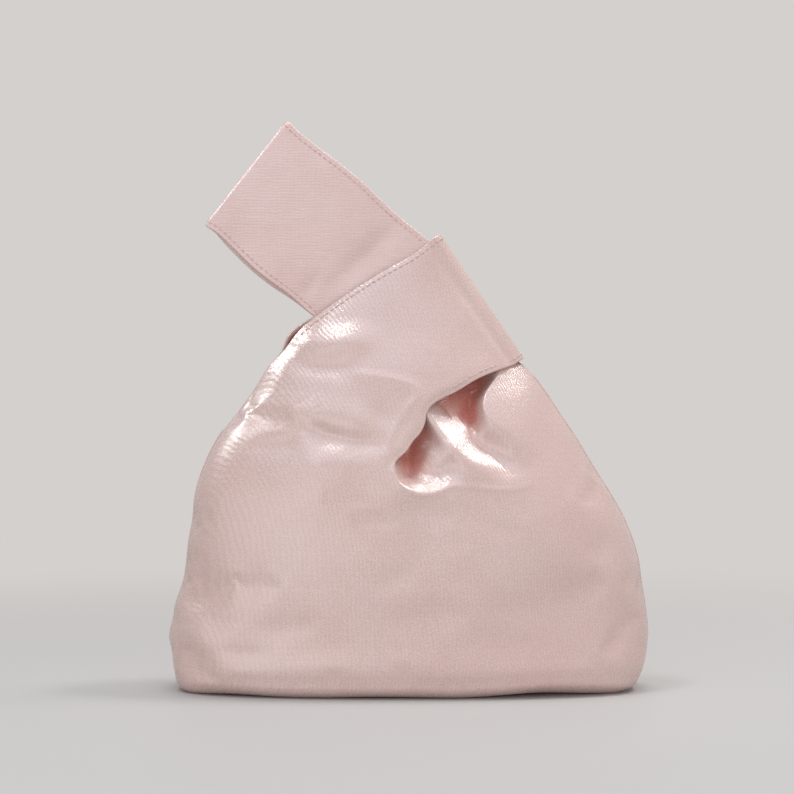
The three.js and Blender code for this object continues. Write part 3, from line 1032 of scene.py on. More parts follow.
@dataclass(frozen=True)
class BagShape:
    """The bag's cloth as a height out of its middle plane, over places across (x) and up (z).

    Attributes:
        left: Outline on the left, then along the short handle's upper hem, against height.
        right: Outline of the body on the right, against height.
        band_right: The same for the short handle's cloth, which ends at its fold.
        depth: Half of the bag's depth in the middle, against height.
        roll: Radius where the base turns up into the wall.
        base_depth: Half of the flat base's depth.
        roundness: How full the body's cross-section is, against height: low is boxy.
        band_roundness: The same for the short handle, towards its fold.
        edge_roundness: The same for the left shoulder, towards its outer edge.
        facet: Slope of the flat that runs along the left shoulder's outer edge, against height.
        facet_run: Width of that flat, and of the stretch over which it levels off.
        armhole: Half of the gap between the front and back at the left edge, against height.
        fold_edge: Half of the gap at the short handle's fold, against height.
        neck: The lowest point of the slit between the handles.
        hem: The short handle's lower hem, from the neck to its fold.
        hem_dip: Depth and reach of the dip along that hem, near the neck.
        hem_swell: Height and reach of the swelling along it, near the fold.
        lip: Edge of the part of the right shoulder that is drawn in.
        lip_wall: Width of the wall inside that edge, and of the stretch over which it levels off.
        lip_soft: Shares of the edge between which that wall turns soft.
        soft_wall: Width of the soft wall.
        lip_curl: How much deeper the cloth lies just inside the wall.
        curl_stretch: Shares of the edge where it does.
        lip_rim: How far the edge itself stands out.
        rim_stretch: Shares of the edge where it does.
        pocket_depth: How far the right shoulder is drawn in beside the hem.
        pocket_behind: How much further it lies behind the short handle.
        bulge: Swelling of the right shoulder under the fold.
        back_strength: How far the back's knot is drawn in, against the front's.
        crest: Crease along the folded tongue of cloth in the pocket.
        crown: How far the tongue's back rises.
        crown_stretch: Shares of the crease where it does.
        ridge: Faint ridge on the short handle, beside its lower hem.
        dent: Shallow dent of the short handle above the neck.
        pillow: Crest of the cloth that puffs out to the left of the neck.
        pillow_foot: The valley below that crest.
        pillow_head: The valley above it.
        strap_bump: Where the long handle's lower edge shows through the short handle.
        shoulder_line: Soft crease from the left shoulder down to the belly.
        shoulder_tent: Height of that crease, radius of its top, and its reach.
        tent_stretch: Shares of its line where it stands.
        crease_drop: How far the cloth drops at the crease, against the share of its length.
        flank_slope: How steeply the tongue falls to the crease.
        flank_corner: Share of that fall over which it begins softly.
        gap_floor: Depth of the gap beyond the crease, against the same share.
        gap_width: Width of that gap, against the same share.
        hollow: Shallow valley that runs down the belly from the knot.
        hollow_size: Its depth and reach.
        hollow_heights: Heights that it runs over.
        base_lift: How far the front's lower edge stands off the table, against the place across.
        back_lift: The same for the back's.
        fold_top: Upper end of the short handle's fold axis.
        fold_bottom: Its lower end.
        fold_radii: Radius of the fold at those ends.
        fold_start: Part of the turn, in degrees, that the cloth has made before the fold begins.
        peek: How far the back's upper hem shows beyond the front's, at its lower left end.
        peek_height: Height of that place.
        peek_reach: How far up and down it reaches.
        fan: The point behind the short handle that the body's soft pleats fan out from.
        fan_reach: Distances from that point that they show at.
        pleats: Height, number in a radian and start of each set of them.
        slack: The cloth's broad unevenness.
        slack_seam: Distance from a side seam at which it begins, and at which it is full.
        slack_base: The same for the height above the table.
        slack_handle: Height on the short handle at which it ends, and at which it is still full.
        left_pulls: What the left side seam pulls into the cloth.
        right_pulls: The same for the right side seam.
        back_shift: How far the back's unevenness is shifted against the front's, in radians.
    """

    left: Profile = Profile((
        (0, -106.8), (2.5, -109.4), (9, -111.5), (19, -113.2), (24.5, -114.2), (34, -112.2), (40, -111.3),
        (51, -107.5), (59, -106.2), (70, -105), (80, -103.2), (93, -101.8), (105, -98.2), (120, -90.8),
        (131, -82.5), (142, -74.3), (155, -65.8), (161.5, -59.5), (171.4, -51.8), (177.4, -44.8),
        (188.2, -29.8), (198.7, -13.4), (207.4, 1.8), (215.6, 12.6),
    ))
    right: Profile = Profile((
        (0, 102), (2.2, 107), (8, 111), (15.4, 113.5), (25.4, 114.8), (36, 114), (50, 111.8), (62.5, 110),
        (79, 104.4), (90, 98.6), (104, 89.8), (120, 80.2), (131, 72.8), (144.5, 63.7), (152, 57.8),
        (155.5, 54), (160, 46),
    ))
    band_right: Profile = Profile((
        (104, 89.8), (120, 78), (131, 69), (142, 58.5), (154.7, 50.6), (172.8, 40.8), (192.8, 25.6),
        (215.6, 12.6),
    ))
    depth: Profile = Profile((
        (6, 45.6), (12, 46.2), (24, 44.9), (36, 44.2), (50, 43.7), (66, 43), (80, 41.4), (94, 38.9),
        (106, 36), (131, 27), (150, 18.5), (168, 10.5), (185, 5.5), (200, 2.2), (214.6, 0),
    ))
    roll: float = 6.0
    base_depth: float = 36.0
    roundness: Profile = Profile(((0, 0.55), (25, 0.75), (106, 1.0), (160, 1.3)))
    band_roundness: Profile = Profile((
        (0, 0.55), (25, 0.75), (106, 1.0), (130, 1.3), (155, 2.0), (215.6, 2.0),
    ))
    edge_roundness: Profile = Profile((
        (0, 0.55), (25, 0.75), (100, 0.82), (118, 1.0), (135, 1.5), (150, 1.7), (166, 1.7), (182, 1.8),
        (215.6, 2.0),
    ))
    facet: Profile = Profile((
        (95, 0), (106, 0), (120, 0.2), (135, 0.4), (150, 0.47), (163, 0.34), (176, 0.1), (186, 0),
    ))
    facet_run: Point = (5.0, 6.0)
    armhole: Profile = Profile((
        (106, 0), (116, 0), (126, 1.0), (136, 2.1), (150, 3.7), (165, 4.9), (190, 4.6), (215.6, 3.4),
    ))
    fold_edge: Profile = Profile(((106, 0), (124, 0), (138, 3.5), (154.7, 6.0), (215.6, 3.4)))
    neck: Point = (-6.6, 106.5)
    hem: Line = Line((
        (-6.6, 106.5), (-5.6, 109.6), (-0.9, 114), (2.4, 118.8), (5.8, 122.7), (7.7, 126.7), (8.9, 132.3),
        (11.4, 135.7), (15.9, 138.7), (21.6, 141.3), (34.4, 148.7), (50.6, 154.7),
    ))
    hem_dip: Point = (1.4, 2.6)
    hem_swell: Point = (1.2, 10.0)
    lip: Line = Line((
        (-34, 152), (-14, 119), (-6.6, 106.5), (-6, 103.1), (-3.8, 99.2), (0.7, 96.1), (6.3, 94.4),
        (13.6, 95.6), (20, 98), (29, 98), (40, 96.5), (52, 97), (62, 102), (70, 112), (73, 126),
    ))
    lip_wall: Point = (4.0, 6.0)
    lip_soft: Point = (0.52, 0.66)
    soft_wall: float = 21.0
    lip_curl: float = 5.6
    curl_stretch: Stretch = Stretch((0.24, 0.34), (0.62, 0.5))
    lip_rim: float = 0.5
    rim_stretch: Stretch = Stretch((0.33, 0.38), (0.88, 0.7))
    pocket_depth: float = 11.5
    pocket_behind: float = 4.0
    bulge: Mound = Mound(middle=(49, 123), spread=(17, 18), rise=2.3)
    back_strength: float = 0.85
    crest: Line = Line((
        (12, 139.5), (15.9, 134.6), (21.5, 127.8), (27.1, 122.2), (32.7, 116.6), (38.3, 112.1), (43.9, 107),
        (48.4, 103.7), (53, 101.5),
    ))
    crown: float = 0.8
    crown_stretch: Stretch = Stretch((0.1, 0.35), (1, 0.7))
    ridge: Crease = Crease(
        Line((
            (-30, 150), (-17.8, 149.2), (-3.9, 146.9), (3.2, 143.8), (4.4, 140.2), (0.7, 135.1),
            (-3.9, 129.7), (-8.1, 120.5), (-10.6, 113), (-9.3, 106),
        )),
        rise=0.6, reach=2.2, begins=0.15, ends=0.9,
    )
    dent: Mound = Mound(middle=(-12, 133), spread=(12, 8), rise=-1.5)
    pillow: Crease = Crease(
        Line(((-60, 140), (-43, 131.5), (-27, 129), (-10, 129))), rise=1.7, reach=8.0
    )
    pillow_foot: Crease = Crease(
        Line(((-60, 131), (-43, 122.5), (-27, 118.5), (-14, 117.5), (-5, 118))), rise=-1.6, reach=4.5
    )
    pillow_head: Crease = Crease(
        Line(((-68, 159), (-54, 156), (-40, 153.5), (-20, 153))), rise=-1.5, reach=5.5
    )
    strap_bump: Crease = Crease(
        Line(((-57, 160), (-43, 164), (-28, 166.5), (-8, 167.5))), rise=3.0, reach=6.5, ends=0.5
    )
    shoulder_line: Line = Line(((-64, 150), (-57, 139), (-50, 122), (-42, 100), (-36, 84)))
    shoulder_tent: tuple[float, float, float] = (1.8, 2.0, 9.0)
    tent_stretch: Stretch = Stretch((0, 0.25), (1, 0.6))
    crease_drop: Profile = Profile(((0, 5), (0.25, 7), (0.45, 6.6), (0.65, 6), (0.85, 4.2), (1, 0.8)))
    flank_slope: float = 0.8
    flank_corner: float = 0.3
    gap_floor: Profile = Profile((
        (0, 17), (0.33, 16), (0.42, 10), (0.5, 7), (0.65, 6), (0.85, 4.2), (1, 0.8),
    ))
    gap_width: Profile = Profile((
        (0, 30), (0.2, 25), (0.27, 17.4), (0.37, 12), (0.45, 11), (0.65, 12), (0.85, 11), (1, 9),
    ))
    hollow: Line = Line(((5, 96), (9, 76), (13, 50), (15, 15)))
    hollow_size: Point = (3.2, 18.0)
    hollow_heights: Stretch = Stretch((5, 45), (98, 82))
    base_lift: Profile = Profile((
        (-107, 1.2), (-88, 1.5), (-62, 0.2), (-40, 0), (-15, 0.5), (8, 0.2), (24, 0), (44, 1.0), (62, 2.4),
        (84, 2.2), (107, 1.2),
    ))
    back_lift: Profile = Profile(((-107, 1.0), (-40, 0), (30, 0.4), (107, 1.2)))
    fold_top: Point = (12.6, 215.6)
    fold_bottom: Point = (50.6, 154.7)
    fold_radii: Point = (3.4, 6.0)
    fold_start: float = 40.0
    peek: float = 4.0
    peek_height: float = 170.0
    peek_reach: float = 9.0
    fan: Point = (14, 145)
    fan_reach: Stretch = Stretch((38, 62), (125, 75))
    pleats: tuple[tuple[float, float, float], ...] = ((0.55, 8.0, 0.6), (0.33, 13.0, -1.0))
    slack: tuple[Wave, ...] = (
        Wave(0.1925, 17, 29), Wave(0.1575, 31, -13, 1.3), Wave(0.105, 9, 21, 4.0, shifted=-1.0),
    )
    slack_seam: Point = (6.0, 22.0)
    slack_base: Point = (4.0, 12.0)
    slack_handle: Point = (190.0, 150.0)
    left_pulls: SeamPulls = SeamPulls(
        Wave(1.3, 7, 6.1, 0.7), place=(12, 10), heights=(75, 35), tuck=Mound((10, 42), (7, 7), -1.6)
    )
    right_pulls: SeamPulls = SeamPulls(
        Wave(0.5, -9, 5.2), place=(12, 11), heights=(120, 80), tuck=Mound((10, 62), (7, 10), 0.8)
    )
    back_shift: float = 2.1

    @property
    def fold_run(self) -> Array:
        """The fold's axis, from its upper to its lower end."""
        return np.subtract(self.fold_bottom, self.fold_top)

    @property
    def fold_out(self) -> Array:
        """The way that the fold faces."""
        run = self.fold_run
        return np.array([-run[1], run[0]]) / np.hypot(*run)

    def fold_radius(self, share: float | Array) -> float | Array:
        """Radius of the fold at a share of its length, from the upper end."""
        return self.fold_radii[0] + (self.fold_radii[1] - self.fold_radii[0]) * share

    def fullness(self, z: Array) -> Array:
        """Half of the depth in the middle, with the roll at the base.

        Args:
            z: Places up.

        Returns:
            The height out of the middle plane at each place.
        """
        share = np.clip(np.asarray(z, float) / self.roll, 0, 1)
        rise = self.depth.at(self.roll) - self.base_depth
        rolled = self.base_depth + rise * np.sqrt(1 - (1 - share) ** 2)
        return np.where(share < 1, rolled, self.depth.at(z))

    def fold_arc(self, count: int) -> Array:
        """The way round a fold of radius 1, from the front to the back.

        Args:
            count: Number of gaps between its points.

        Returns:
            Rows of how far out and how far forward.
        """
        start = math.radians(self.fold_start)
        turns = np.linspace(start, math.pi - start, count + 1)
        outward = (np.sin(turns) - math.sin(start)) / (1 - math.sin(start))
        return np.stack([outward, np.cos(turns) / math.cos(start)], axis=1)

    def left_edge(self, z: Array, side: Side) -> Array:
        """Outline on the left, where the back's hem shows a little beyond the front's."""
        peek = self.peek * bell(np.asarray(z, float) - self.peek_height, self.peek_reach)
        return self.left.at(z) - (peek if side is Side.BACK else 0.0)

    def body_envelope(self, x: Array, z: Array, side: Side) -> Array:
        """The smooth fullness of the body."""
        outline = self.left_edge(z, side), self.right.at(z)
        return self._envelope(x, z, outline, (self.edge_roundness, self.roundness), np.zeros_like(z))

    def band_envelope(self, x: Array, z: Array, side: Side) -> Array:
        """The smooth fullness of the left shoulder and the short handle."""
        outline, roundness = (self.left_edge(z, side), self.band_right.at(z)), self.band_roundness
        return self._envelope(x, z, outline, (self.edge_roundness, roundness), self.fold_edge.at(z))

    def _envelope(
        self,
        x: Array,
        z: Array,
        outline: tuple[Array, Array],
        roundness: tuple[Profile, Profile],
        far_edge: Array,
    ) -> Array:
        """The bag's smooth fullness between two outlines.

        Args:
            x: Places across.
            z: Places up.
            outline: Outlines on the left and on the right.
            roundness: How full the cross-section is towards each of them.
            far_edge: Half of the gap between front and back at the outline on the right.

        Returns:
            The height out of the middle plane.
        """
        low, high = outline
        half = np.maximum((high - low) / 2, 0.5)
        across = np.clip((x - (low + high) / 2) / half, -1, 1)
        power = np.where(across < 0, roundness[0].at(z), roundness[1].at(z)) / 2
        crown = np.maximum(1 - across**2, 0) ** power
        edge = self.armhole.at(z) * (1 - across) / 2 + far_edge * (1 + across) / 2
        flat, easing = self.facet_run
        chamfer = self.facet.at(z) * (flat + easing / 2) * (level_off(x - low, flat, easing) - crown)
        return edge + self.fullness(z) * crown + np.where(across < 0, chamfer, 0)

    def ripples(self, x: Array, z: Array, side: Side) -> Array:
        """Soft unevenness of slack cloth, stronger towards the side seams.

        Args:
            x: Places across.
            z: Places up.
            side: Face of the bag.

        Returns:
            The height to add.
        """
        shift = 0.0 if side is Side.FRONT else self.back_shift
        slack = sum(wave.at(x, z, shift) for wave in self.slack)
        across, down = x - self.fan[0], self.fan[1] - z
        angle = np.arctan2(across, down)
        pleats = sum(rise * np.cos(angle * count + start + shift) for rise, count, start in self.pleats)
        pleats = pleats * self.fan_reach.at(np.hypot(across, down))
        near_hollow, _ = self.hollow.near(x, z)
        depth, reach = self.hollow_size
        hollow = depth * bell(near_hollow, reach) * self.hollow_heights.at(z)
        left_gap, right_gap = x - self.left.at(z), self.right.at(z) - x
        inner = ease(*self.slack_seam, np.minimum(left_gap, right_gap))
        pulls = self.left_pulls.at(left_gap, z, shift) + self.right_pulls.at(right_gap, z, shift)
        return ease(*self.slack_base, z) * ((slack + pleats - hollow) * inner + pulls)

    def band(self, x: Array, z: Array, side: Side) -> Array:
        """Height of the left shoulder and the short handle.

        Args:
            x: Places across.
            z: Places up.
            side: Face of the bag.

        Returns:
            The height out of the middle plane.
        """
        height = self.band_envelope(x, z, side)
        near_hem, along_hem = self.hem.near(x, z)
        depth, reach = self.hem_dip
        height = height - depth * bell(near_hem, reach) * ease(104, 112, z) * ease(0.85, 0.6, along_hem)
        rise, reach = self.hem_swell
        height = height + rise * bell(near_hem, reach) * ease(0.55, 0.85, along_hem)
        pillow = self.pillow, self.pillow_foot, self.pillow_head
        for form in (self.ridge, self.dent, *pillow, self.strap_bump):
            height = height + form.at(x, z)
        near_line, along_line = self.shoulder_line.near(x, z)
        rise, radius, reach = self.shoulder_tent
        tent = rise * np.exp(-np.hypot(near_line, radius) / reach)
        height = height + tent * self.tent_stretch.at(along_line)
        return height + self.ripples(x, z, side) * ease(*self.slack_handle, z)

    def shoulder(self, x: Array, z: Array, side: Side) -> Array:
        """Height of the belly and of the right shoulder, drawn in behind the short handle.

        Args:
            x: Places across.
            z: Places up.
            side: Face of the bag.

        Returns:
            The height out of the middle plane.
        """
        height = self.body_envelope(x, z, side)
        past_hem, _ = self.hem.near(x, z)
        outside_lip, along_lip = self.lip.near(x, z)
        inside_lip = -outside_lip
        before_crest, along = self.crest.near(x, z)
        past_crest = -before_crest
        crisp = level_off(inside_lip, *self.lip_wall)
        soft_part = ease(*self.lip_soft, along_lip)
        drawn_in = crisp * (1 - soft_part) + ease(0, self.soft_wall, inside_lip) * soft_part
        pocket = self.pocket_depth * (1 - ease(0.5, 17, past_hem))
        pocket = pocket + self.pocket_behind * ease(0, -8, past_hem)
        curl = self.lip_curl * self.curl_stretch.at(along_lip)
        pocket = pocket + curl * (1 - ease(7, 20, inside_lip))
        rise = 1 - 0.85 * ease(-15, -7, past_crest)
        drop = self.crease_drop.at(along)
        across = past_crest / self.gap_width.at(along)
        crown = self.crown * bell(past_crest + 9.5, 5.0) * self.crown_stretch.at(along)
        flank = np.clip(past_crest / (drop / self.flank_slope + 2) + 1, 0, 1)
        corner = self.flank_corner
        flank = np.where(flank < corner, flank**2 / (2 * corner), flank - corner / 2) / (1 - corner / 2)
        tongue = pocket * rise + drop * flank - crown
        wall = 0.02 + 0.58 * ease(0.5, 0.36, along)
        gap = (
            pocket * 0.28 * ease(0.5, 0, across)
            + drop + np.maximum(self.gap_floor.at(along) - drop, 0) * ease(0, 0.65, across)
        ) * ease(1.22, wall, across)
        under = 1.2 * ease(16, -1, past_hem) * ease(0.7, 1.1, across)
        sunk = np.where(past_crest < 0, tongue, gap + under)
        rim = self.lip_rim * bell(inside_lip + 0.2, 1.2) * self.rim_stretch.at(along_lip)
        strength = 1.0 if side is Side.FRONT else self.back_strength
        knot = strength * (drawn_in * (self.bulge.at(x, z) - sunk) + rim)
        return height + knot + self.ripples(x, z, side) * ease(0.3, 0, drawn_in)


@dataclass
class Pouch:
    """The bag's body and the short handle that grows out of its left shoulder.

    Attributes:
        shape: The form of the cloth.
        left_columns: Columns of the mesh from the left seam to the neck.
        right_columns: Columns from the neck to the right seam.
        row: Height of one row of the mesh.
        base_rows: Rows of the base, as shares of its depth.
        roll_rows: Rows round the roll at the base.
        band_rows: Rows of the short handle.
        fold_rows: Rows round its fold.
        wall: Thickness of satin and interfacing.
        lining_wall: Thickness of the lining.
        hidden_run: How far the right shoulder reaches to the left behind the short handle.
        shoulder_top: Hidden top of the right shoulder.
        cut: Width and length of the satin before sewing, front and back in one piece.
        lining_gap: From the face of the satin to the lining.
        lining_clear: Least distance of the lining from the middle plane.
        lining_stride: How many rows and columns of the satin's mesh make one of the lining's.
        lining_weld: Points of the lining closer than this become one.
        seam_radius: Radius of the seams' thread.
        seam_proud: How far the side seams stand out of the outline.
        seam_foot: Lower end of the side seams.
        left_seam_top: Upper end of the left side seam.
        right_seam_top: Upper end of the right side seam.
        base_seam: Left and right end of the base seam.
        stitch: The topstitching.
        stitch_margin: From a hem to its topstitching.
        upper_stitch_foot: Lower end of the upper hem's topstitching.
        lower_stitch_start: Share of the lower hem from which its topstitching shows.
        fold_shade_depth: Depth in the knot's folds at which their painted shade begins, and at which it is
            full.
        fold_shade_heights: Heights that it shows at.
        fold_shade_left: Place across at which it begins, and at which it is full.
        settling: How the satin settles.
    """

    shape: BagShape = BagShape()
    left_columns: int = 120
    right_columns: int = 132
    row: float = 1.1
    base_rows: tuple[float, ...] = (0.0, 0.2, 0.45, 0.7, 0.88)
    roll_rows: int = 12
    band_rows: int = 120
    fold_rows: int = 12
    wall: float = 1.0
    lining_wall: float = 0.5
    hidden_run: float = 13.0
    shoulder_top: float = 159.0
    cut: Point = (0.30, 0.66)
    lining_gap: float = 1.5
    lining_clear: float = 0.15
    lining_stride: int = 2
    lining_weld: float = 0.5
    seam_radius: float = 0.45
    seam_proud: float = 0.1
    seam_foot: float = 2.0
    left_seam_top: float = 124.0
    right_seam_top: float = 150.0
    base_seam: Point = (-92.0, 88.0)
    stitch: Topstitch = Topstitch()
    stitch_margin: float = 2.4
    upper_stitch_foot: float = 170.0
    lower_stitch_start: float = 0.6
    fold_shade_depth: Point = (3.0, 14.0)
    fold_shade_heights: Stretch = Stretch((88, 94), (158, 150))
    fold_shade_left: Point = (-8.0, -6.0)
    settling: Settling = Settling()

    def _spread(self, x: Array, y: Array, count: int) -> Array:
        """Places across that divide a cross-section, given by fine points, into even gaps."""
        length = lengths(np.stack([x, y], axis=1))
        return np.interp(np.linspace(0, length[-1], count + 1), length, x)

    def _row(self, z: float, side: Side) -> tuple[Array, Array]:
        """One row of the body, from the left seam to the right seam.

        Args:
            z: Its height.
            side: Face of the bag.

        Returns:
            Places across and heights out of the middle plane.
        """
        shape = self.shape
        low, high = float(shape.left_edge(z, side)), float(shape.right.at(z))
        turn = np.linspace(0, math.pi, 700)
        x = (low + high) / 2 - np.cos(turn) * (high - low) / 2
        level = np.full_like(x, z)
        split = shape.neck[0] * float(ease(0, 60, z))
        left = np.append(x[x < split], split)
        right = np.insert(x[x > split], 0, split)
        left_height = shape.band(left, level[: len(left)], side)
        right_height = shape.shoulder(right, level[: len(right)], side)
        across_left = self._spread(left, left_height, self.left_columns)
        across_right = self._spread(right, right_height, self.right_columns)
        across = np.concatenate([across_left, across_right[1:]])
        height = np.concatenate([
            np.interp(across_left, left, left_height), np.interp(across_right, right, right_height)[1:]
        ])
        height[0] = height[-1] = 0.0
        return across, height

    def _body(self, side: Side) -> Array:
        """The base and wall up to the neck.

        Args:
            side: Face of the bag.

        Returns:
            The grid of points.
        """
        shape = self.shape
        rows = []
        lift = shape.base_lift if side is Side.FRONT else shape.back_lift
        heights = shape.roll * (1 - np.cos(np.linspace(0, math.pi / 2, self.roll_rows)))
        steps = int(round((shape.neck[1] - shape.roll) / self.row))
        heights = np.concatenate([heights, np.linspace(shape.roll, shape.neck[1], steps + 1)[1:]])
        across, height = self._row(0.0, side)
        for share in self.base_rows:
            rows.append(np.stack([across, height * share * side.value, np.zeros_like(across)], axis=1))
        for z in heights:
            across, height = self._row(float(z), side)
            rows.append(np.stack([across, height * side.value, np.full_like(across, z)], axis=1))
        grid = np.stack(rows)
        edge = np.abs(grid[..., 1]) / shape.base_depth
        grid[..., 2] += lift.at(grid[..., 0]) * ease(20, 2, grid[..., 2]) * ease(0.5, 1.05, edge)
        return grid

    def _band(self, start: Array, side: Side) -> Array:
        """The left shoulder and the short handle, from the neck's row to the fold's axis.

        Args:
            start: The last row of the body, left of the neck.
            side: Face of the bag.

        Returns:
            The grid of points.
        """
        shape = self.shape
        across = np.linspace(0, 1, self.left_columns + 1)
        up = np.linspace(0, 1, self.band_rows + 1)
        heights = np.linspace(shape.neck[1], shape.fold_top[1], 600)
        edge = np.stack([shape.left_edge(heights, side), heights], axis=1)
        length = lengths(edge)
        left = follow(edge, length, up * length[-1])
        right = shape.hem.along(up)
        bottom = start[:, [0, 2]]
        top = np.array(shape.fold_top) + np.outer(across, shape.fold_run)
        s, w = across[None, :, None], up[:, None, None]
        place = (
            (1 - w) * bottom[None] + w * top[None] + (1 - s) * left[:, None] + s * right[:, None]
            - (1 - s) * (1 - w) * bottom[0] - s * (1 - w) * bottom[-1]
            - (1 - s) * w * top[0] - s * w * top[-1]
        )
        height = shape.band(place[..., 0], place[..., 1], side)
        settle = ease(0.95, 1, up)[:, None]
        height = height * (1 - settle) + shape.fold_radius(across)[None] * settle
        height[0] = start[:, 1] * side.value
        return np.stack([place[..., 0], height * side.value, place[..., 1]], axis=-1)

    def _fold(self, side_rows: tuple[Array, Array]) -> Array:
        """The rounded fold between the short handle's front and back.

        Args:
            side_rows: The last rows of the front and of the back.

        Returns:
            The grid of points.
        """
        front, back = side_rows
        radius = (back[:, 1] - front[:, 1]) / 2
        rows = []
        for outward, forward in self.shape.fold_arc(self.fold_rows):
            share = (1 - forward) / 2
            row = front * (1 - share) + back * share
            row[:, [0, 2]] += np.outer(radius * outward, self.shape.fold_out)
            rows.append(row)
        return np.stack(rows)

    def _shoulder(self, start: Array, side: Side) -> Array:
        """The right shoulder above the neck, with the part behind the short handle.

        Args:
            start: The last row of the body, from the neck to the right seam.
            side: Face of the bag.

        Returns:
            The grid of points.
        """
        shape = self.shape
        rows = [start]
        hem = shape.hem.along(np.linspace(0, 1, 200))
        for z in np.arange(shape.neck[1] + self.row, self.shoulder_top, self.row):
            low = float(np.interp(z, hem[:, 1], hem[:, 0]))
            low -= self.hidden_run * float(ease(shape.neck[1], shape.neck[1] + 14, z))
            high = float(shape.right.at(z))
            x = low + (high - low) * np.sin(np.linspace(0, math.pi / 2, 500))
            height = np.maximum(shape.shoulder(x, np.full_like(x, z), side), 0.0)
            height[-1] = 0.0
            across = self._spread(x, height, self.right_columns)
            height = np.interp(across, x, height)
            rows.append(np.stack([across, height * side.value, np.full_like(across, z)], axis=1))
        return np.stack(rows)

    def patches(self) -> list[Patch]:
        """Every grid of the bag's outer cloth.

        Returns:
            Body, short handle and shoulder of each side, then the fold.
        """
        made: list[Patch] = []
        fold_rows = []
        for side in Side:
            outward = side is Side.FRONT
            body = self._body(side)
            band = self._band(body[-1, : self.left_columns + 1], side)
            shoulder = self._shoulder(body[-1, self.left_columns :], side)
            made += [Patch(grid, outward) for grid in (body, band, shoulder)]
            fold_rows.append(band[-1])
        made.append(Patch(self._fold((fold_rows[0], fold_rows[1]))))
        return made

    def _lining_patches(self, satin: list[Patch]) -> list[Patch]:
        """The lining's grids, coarser than the satin's and inside them.

        Args:
            satin: Grids of the satin: body, short handle and shoulder of each side, then the fold.

        Returns:
            The lining's grids.
        """
        made = []
        fold = len(satin) - 1
        bodies = range(0, fold, fold // len(Side))
        for number, patch in enumerate(satin):
            grid = inset(patch.points, patch.outward, self.lining_gap)
            if number != fold:
                way = Side.FRONT.value if patch.outward else Side.BACK.value
                grid[..., 1] = way * np.maximum(way * grid[..., 1], self.lining_clear)
            if number in bodies:
                for column, way in ((0, 1.0), (-1, -1.0)):
                    grid[:, column] = patch.points[:, column] + [way * self.lining_gap, 0, 0]
                grid[0] = patch.points[0] + [0, 0, self.lining_gap]
                grid[0, [0, -1]] += [[self.lining_gap, 0, 0], [-self.lining_gap, 0, 0]]
            keep = np.ix_(*(every(self.lining_stride, size) for size in grid.shape[:2]))
            made.append(Patch(grid[keep], patch.outward))
        return made

    def _seam(self, name: str, outline: Profile, top: float, way: float) -> bpy.types.Object:
        """The thread of a side seam, as a fine cord that stands a little out of the outline.

        Args:
            name: Name of the piece.
            outline: The outline that it follows.
            top: Its upper end.
            way: 1 on the right, -1 on the left.

        Returns:
            The piece.
        """
        heights = np.linspace(self.seam_foot, top, 110)
        across = outline.at(heights) + way * self.seam_proud
        path = np.stack([across, np.zeros_like(heights), heights], axis=1)
        return make_mesh(name, [tube(path, self.seam_radius)])

    def _base_seam(self) -> bpy.types.Object:
        """The thread of the base seam, sunk into the bag's underside.

        Returns:
            The piece.
        """
        across = np.linspace(*self.base_seam, 60)
        path = np.stack([across, np.zeros_like(across), np.full_like(across, self.seam_radius)], axis=1)
        return make_mesh("base_seam_thread", [tube(path, self.seam_radius)])

    def _stitch_row(self, name: str, places: Array, fold_share: float) -> bpy.types.Object:
        """A row of topstitches on the short handle, along its front, round its fold and along its back.

        Args:
            name: Name of the piece.
            places: Rows of X and Z on the cloth, that end at the fold's axis.
            fold_share: Where the row crosses the fold, as a share of the fold's length.

        Returns:
            The piece.
        """
        shape = self.shape
        out = shape.fold_out
        radius = shape.fold_radius(fold_share)
        x, z = places.T
        sides, normals = [], []
        for side in Side:
            height = shape.band(x, z, side)
            slope_x = shape.band(x + 0.5, z, side) - shape.band(x - 0.5, z, side)
            slope_z = shape.band(x, z + 0.5, side) - shape.band(x, z - 0.5, side)
            settle = ease(9.0, 0.0, np.hypot(*(places - places[-1]).T))
            height = height * (1 - settle) + radius * settle
            sides.append(np.stack([x, height * side.value, z], axis=1))
            normals.append(unit(np.stack([-slope_x, np.full_like(x, side.value), -slope_z], axis=1)))
        arc = shape.fold_arc(10)
        steps = unit(np.gradient(arc, axis=0))
        outward, forward = arc.T * radius
        middle = places[-1]
        ring = np.stack([middle[0] + out[0] * outward, -forward, middle[1] + out[1] * outward], axis=1)
        ring_out = np.stack([-out[0] * steps[:, 1], -steps[:, 0], -out[1] * steps[:, 1]], axis=1)
        path = np.concatenate([sides[0], ring[1:-1], sides[1][::-1]])
        facing = np.concatenate([normals[0], ring_out[1:-1], normals[1][::-1]])
        return make_mesh(name, self.stitch.patches(path, facing))

    def _hem_rows(self) -> list[tuple[str, str, Array, float]]:
        """The rows of topstitching on the short handle.

        Returns:
            For each row, its name, the CAD node that it stands for, its places and its share of the fold.
        """
        shape = self.shape
        share = self.stitch_margin / np.hypot(*shape.fold_run)
        heights = np.linspace(self.upper_stitch_foot, shape.fold_top[1], 90)
        upper = self._offset(np.stack([shape.left.at(heights), heights], axis=1))
        upper[-1] = np.array(shape.fold_top) + shape.fold_run * share
        hem = shape.hem.along(np.linspace(self.lower_stitch_start, 1, 60))
        lower = self._offset(hem[::-1])[::-1]
        lower[-1] = np.array(shape.fold_bottom) - shape.fold_run * share
        return [
            ("short_handle_upper_stitches", "short_handle_upper_topstitch", upper, share),
            ("short_handle_lower_stitches", "short_handle_lower_topstitch", lower, 1 - share),
        ]

    def _offset(self, edge: Array) -> Array:
        """A line of X and Z beside a hem, on its right-hand side, at the stitch margin."""
        step = unit(np.gradient(edge, axis=0))
        return edge + np.stack([step[:, 1], -step[:, 0]], axis=1) * self.stitch_margin

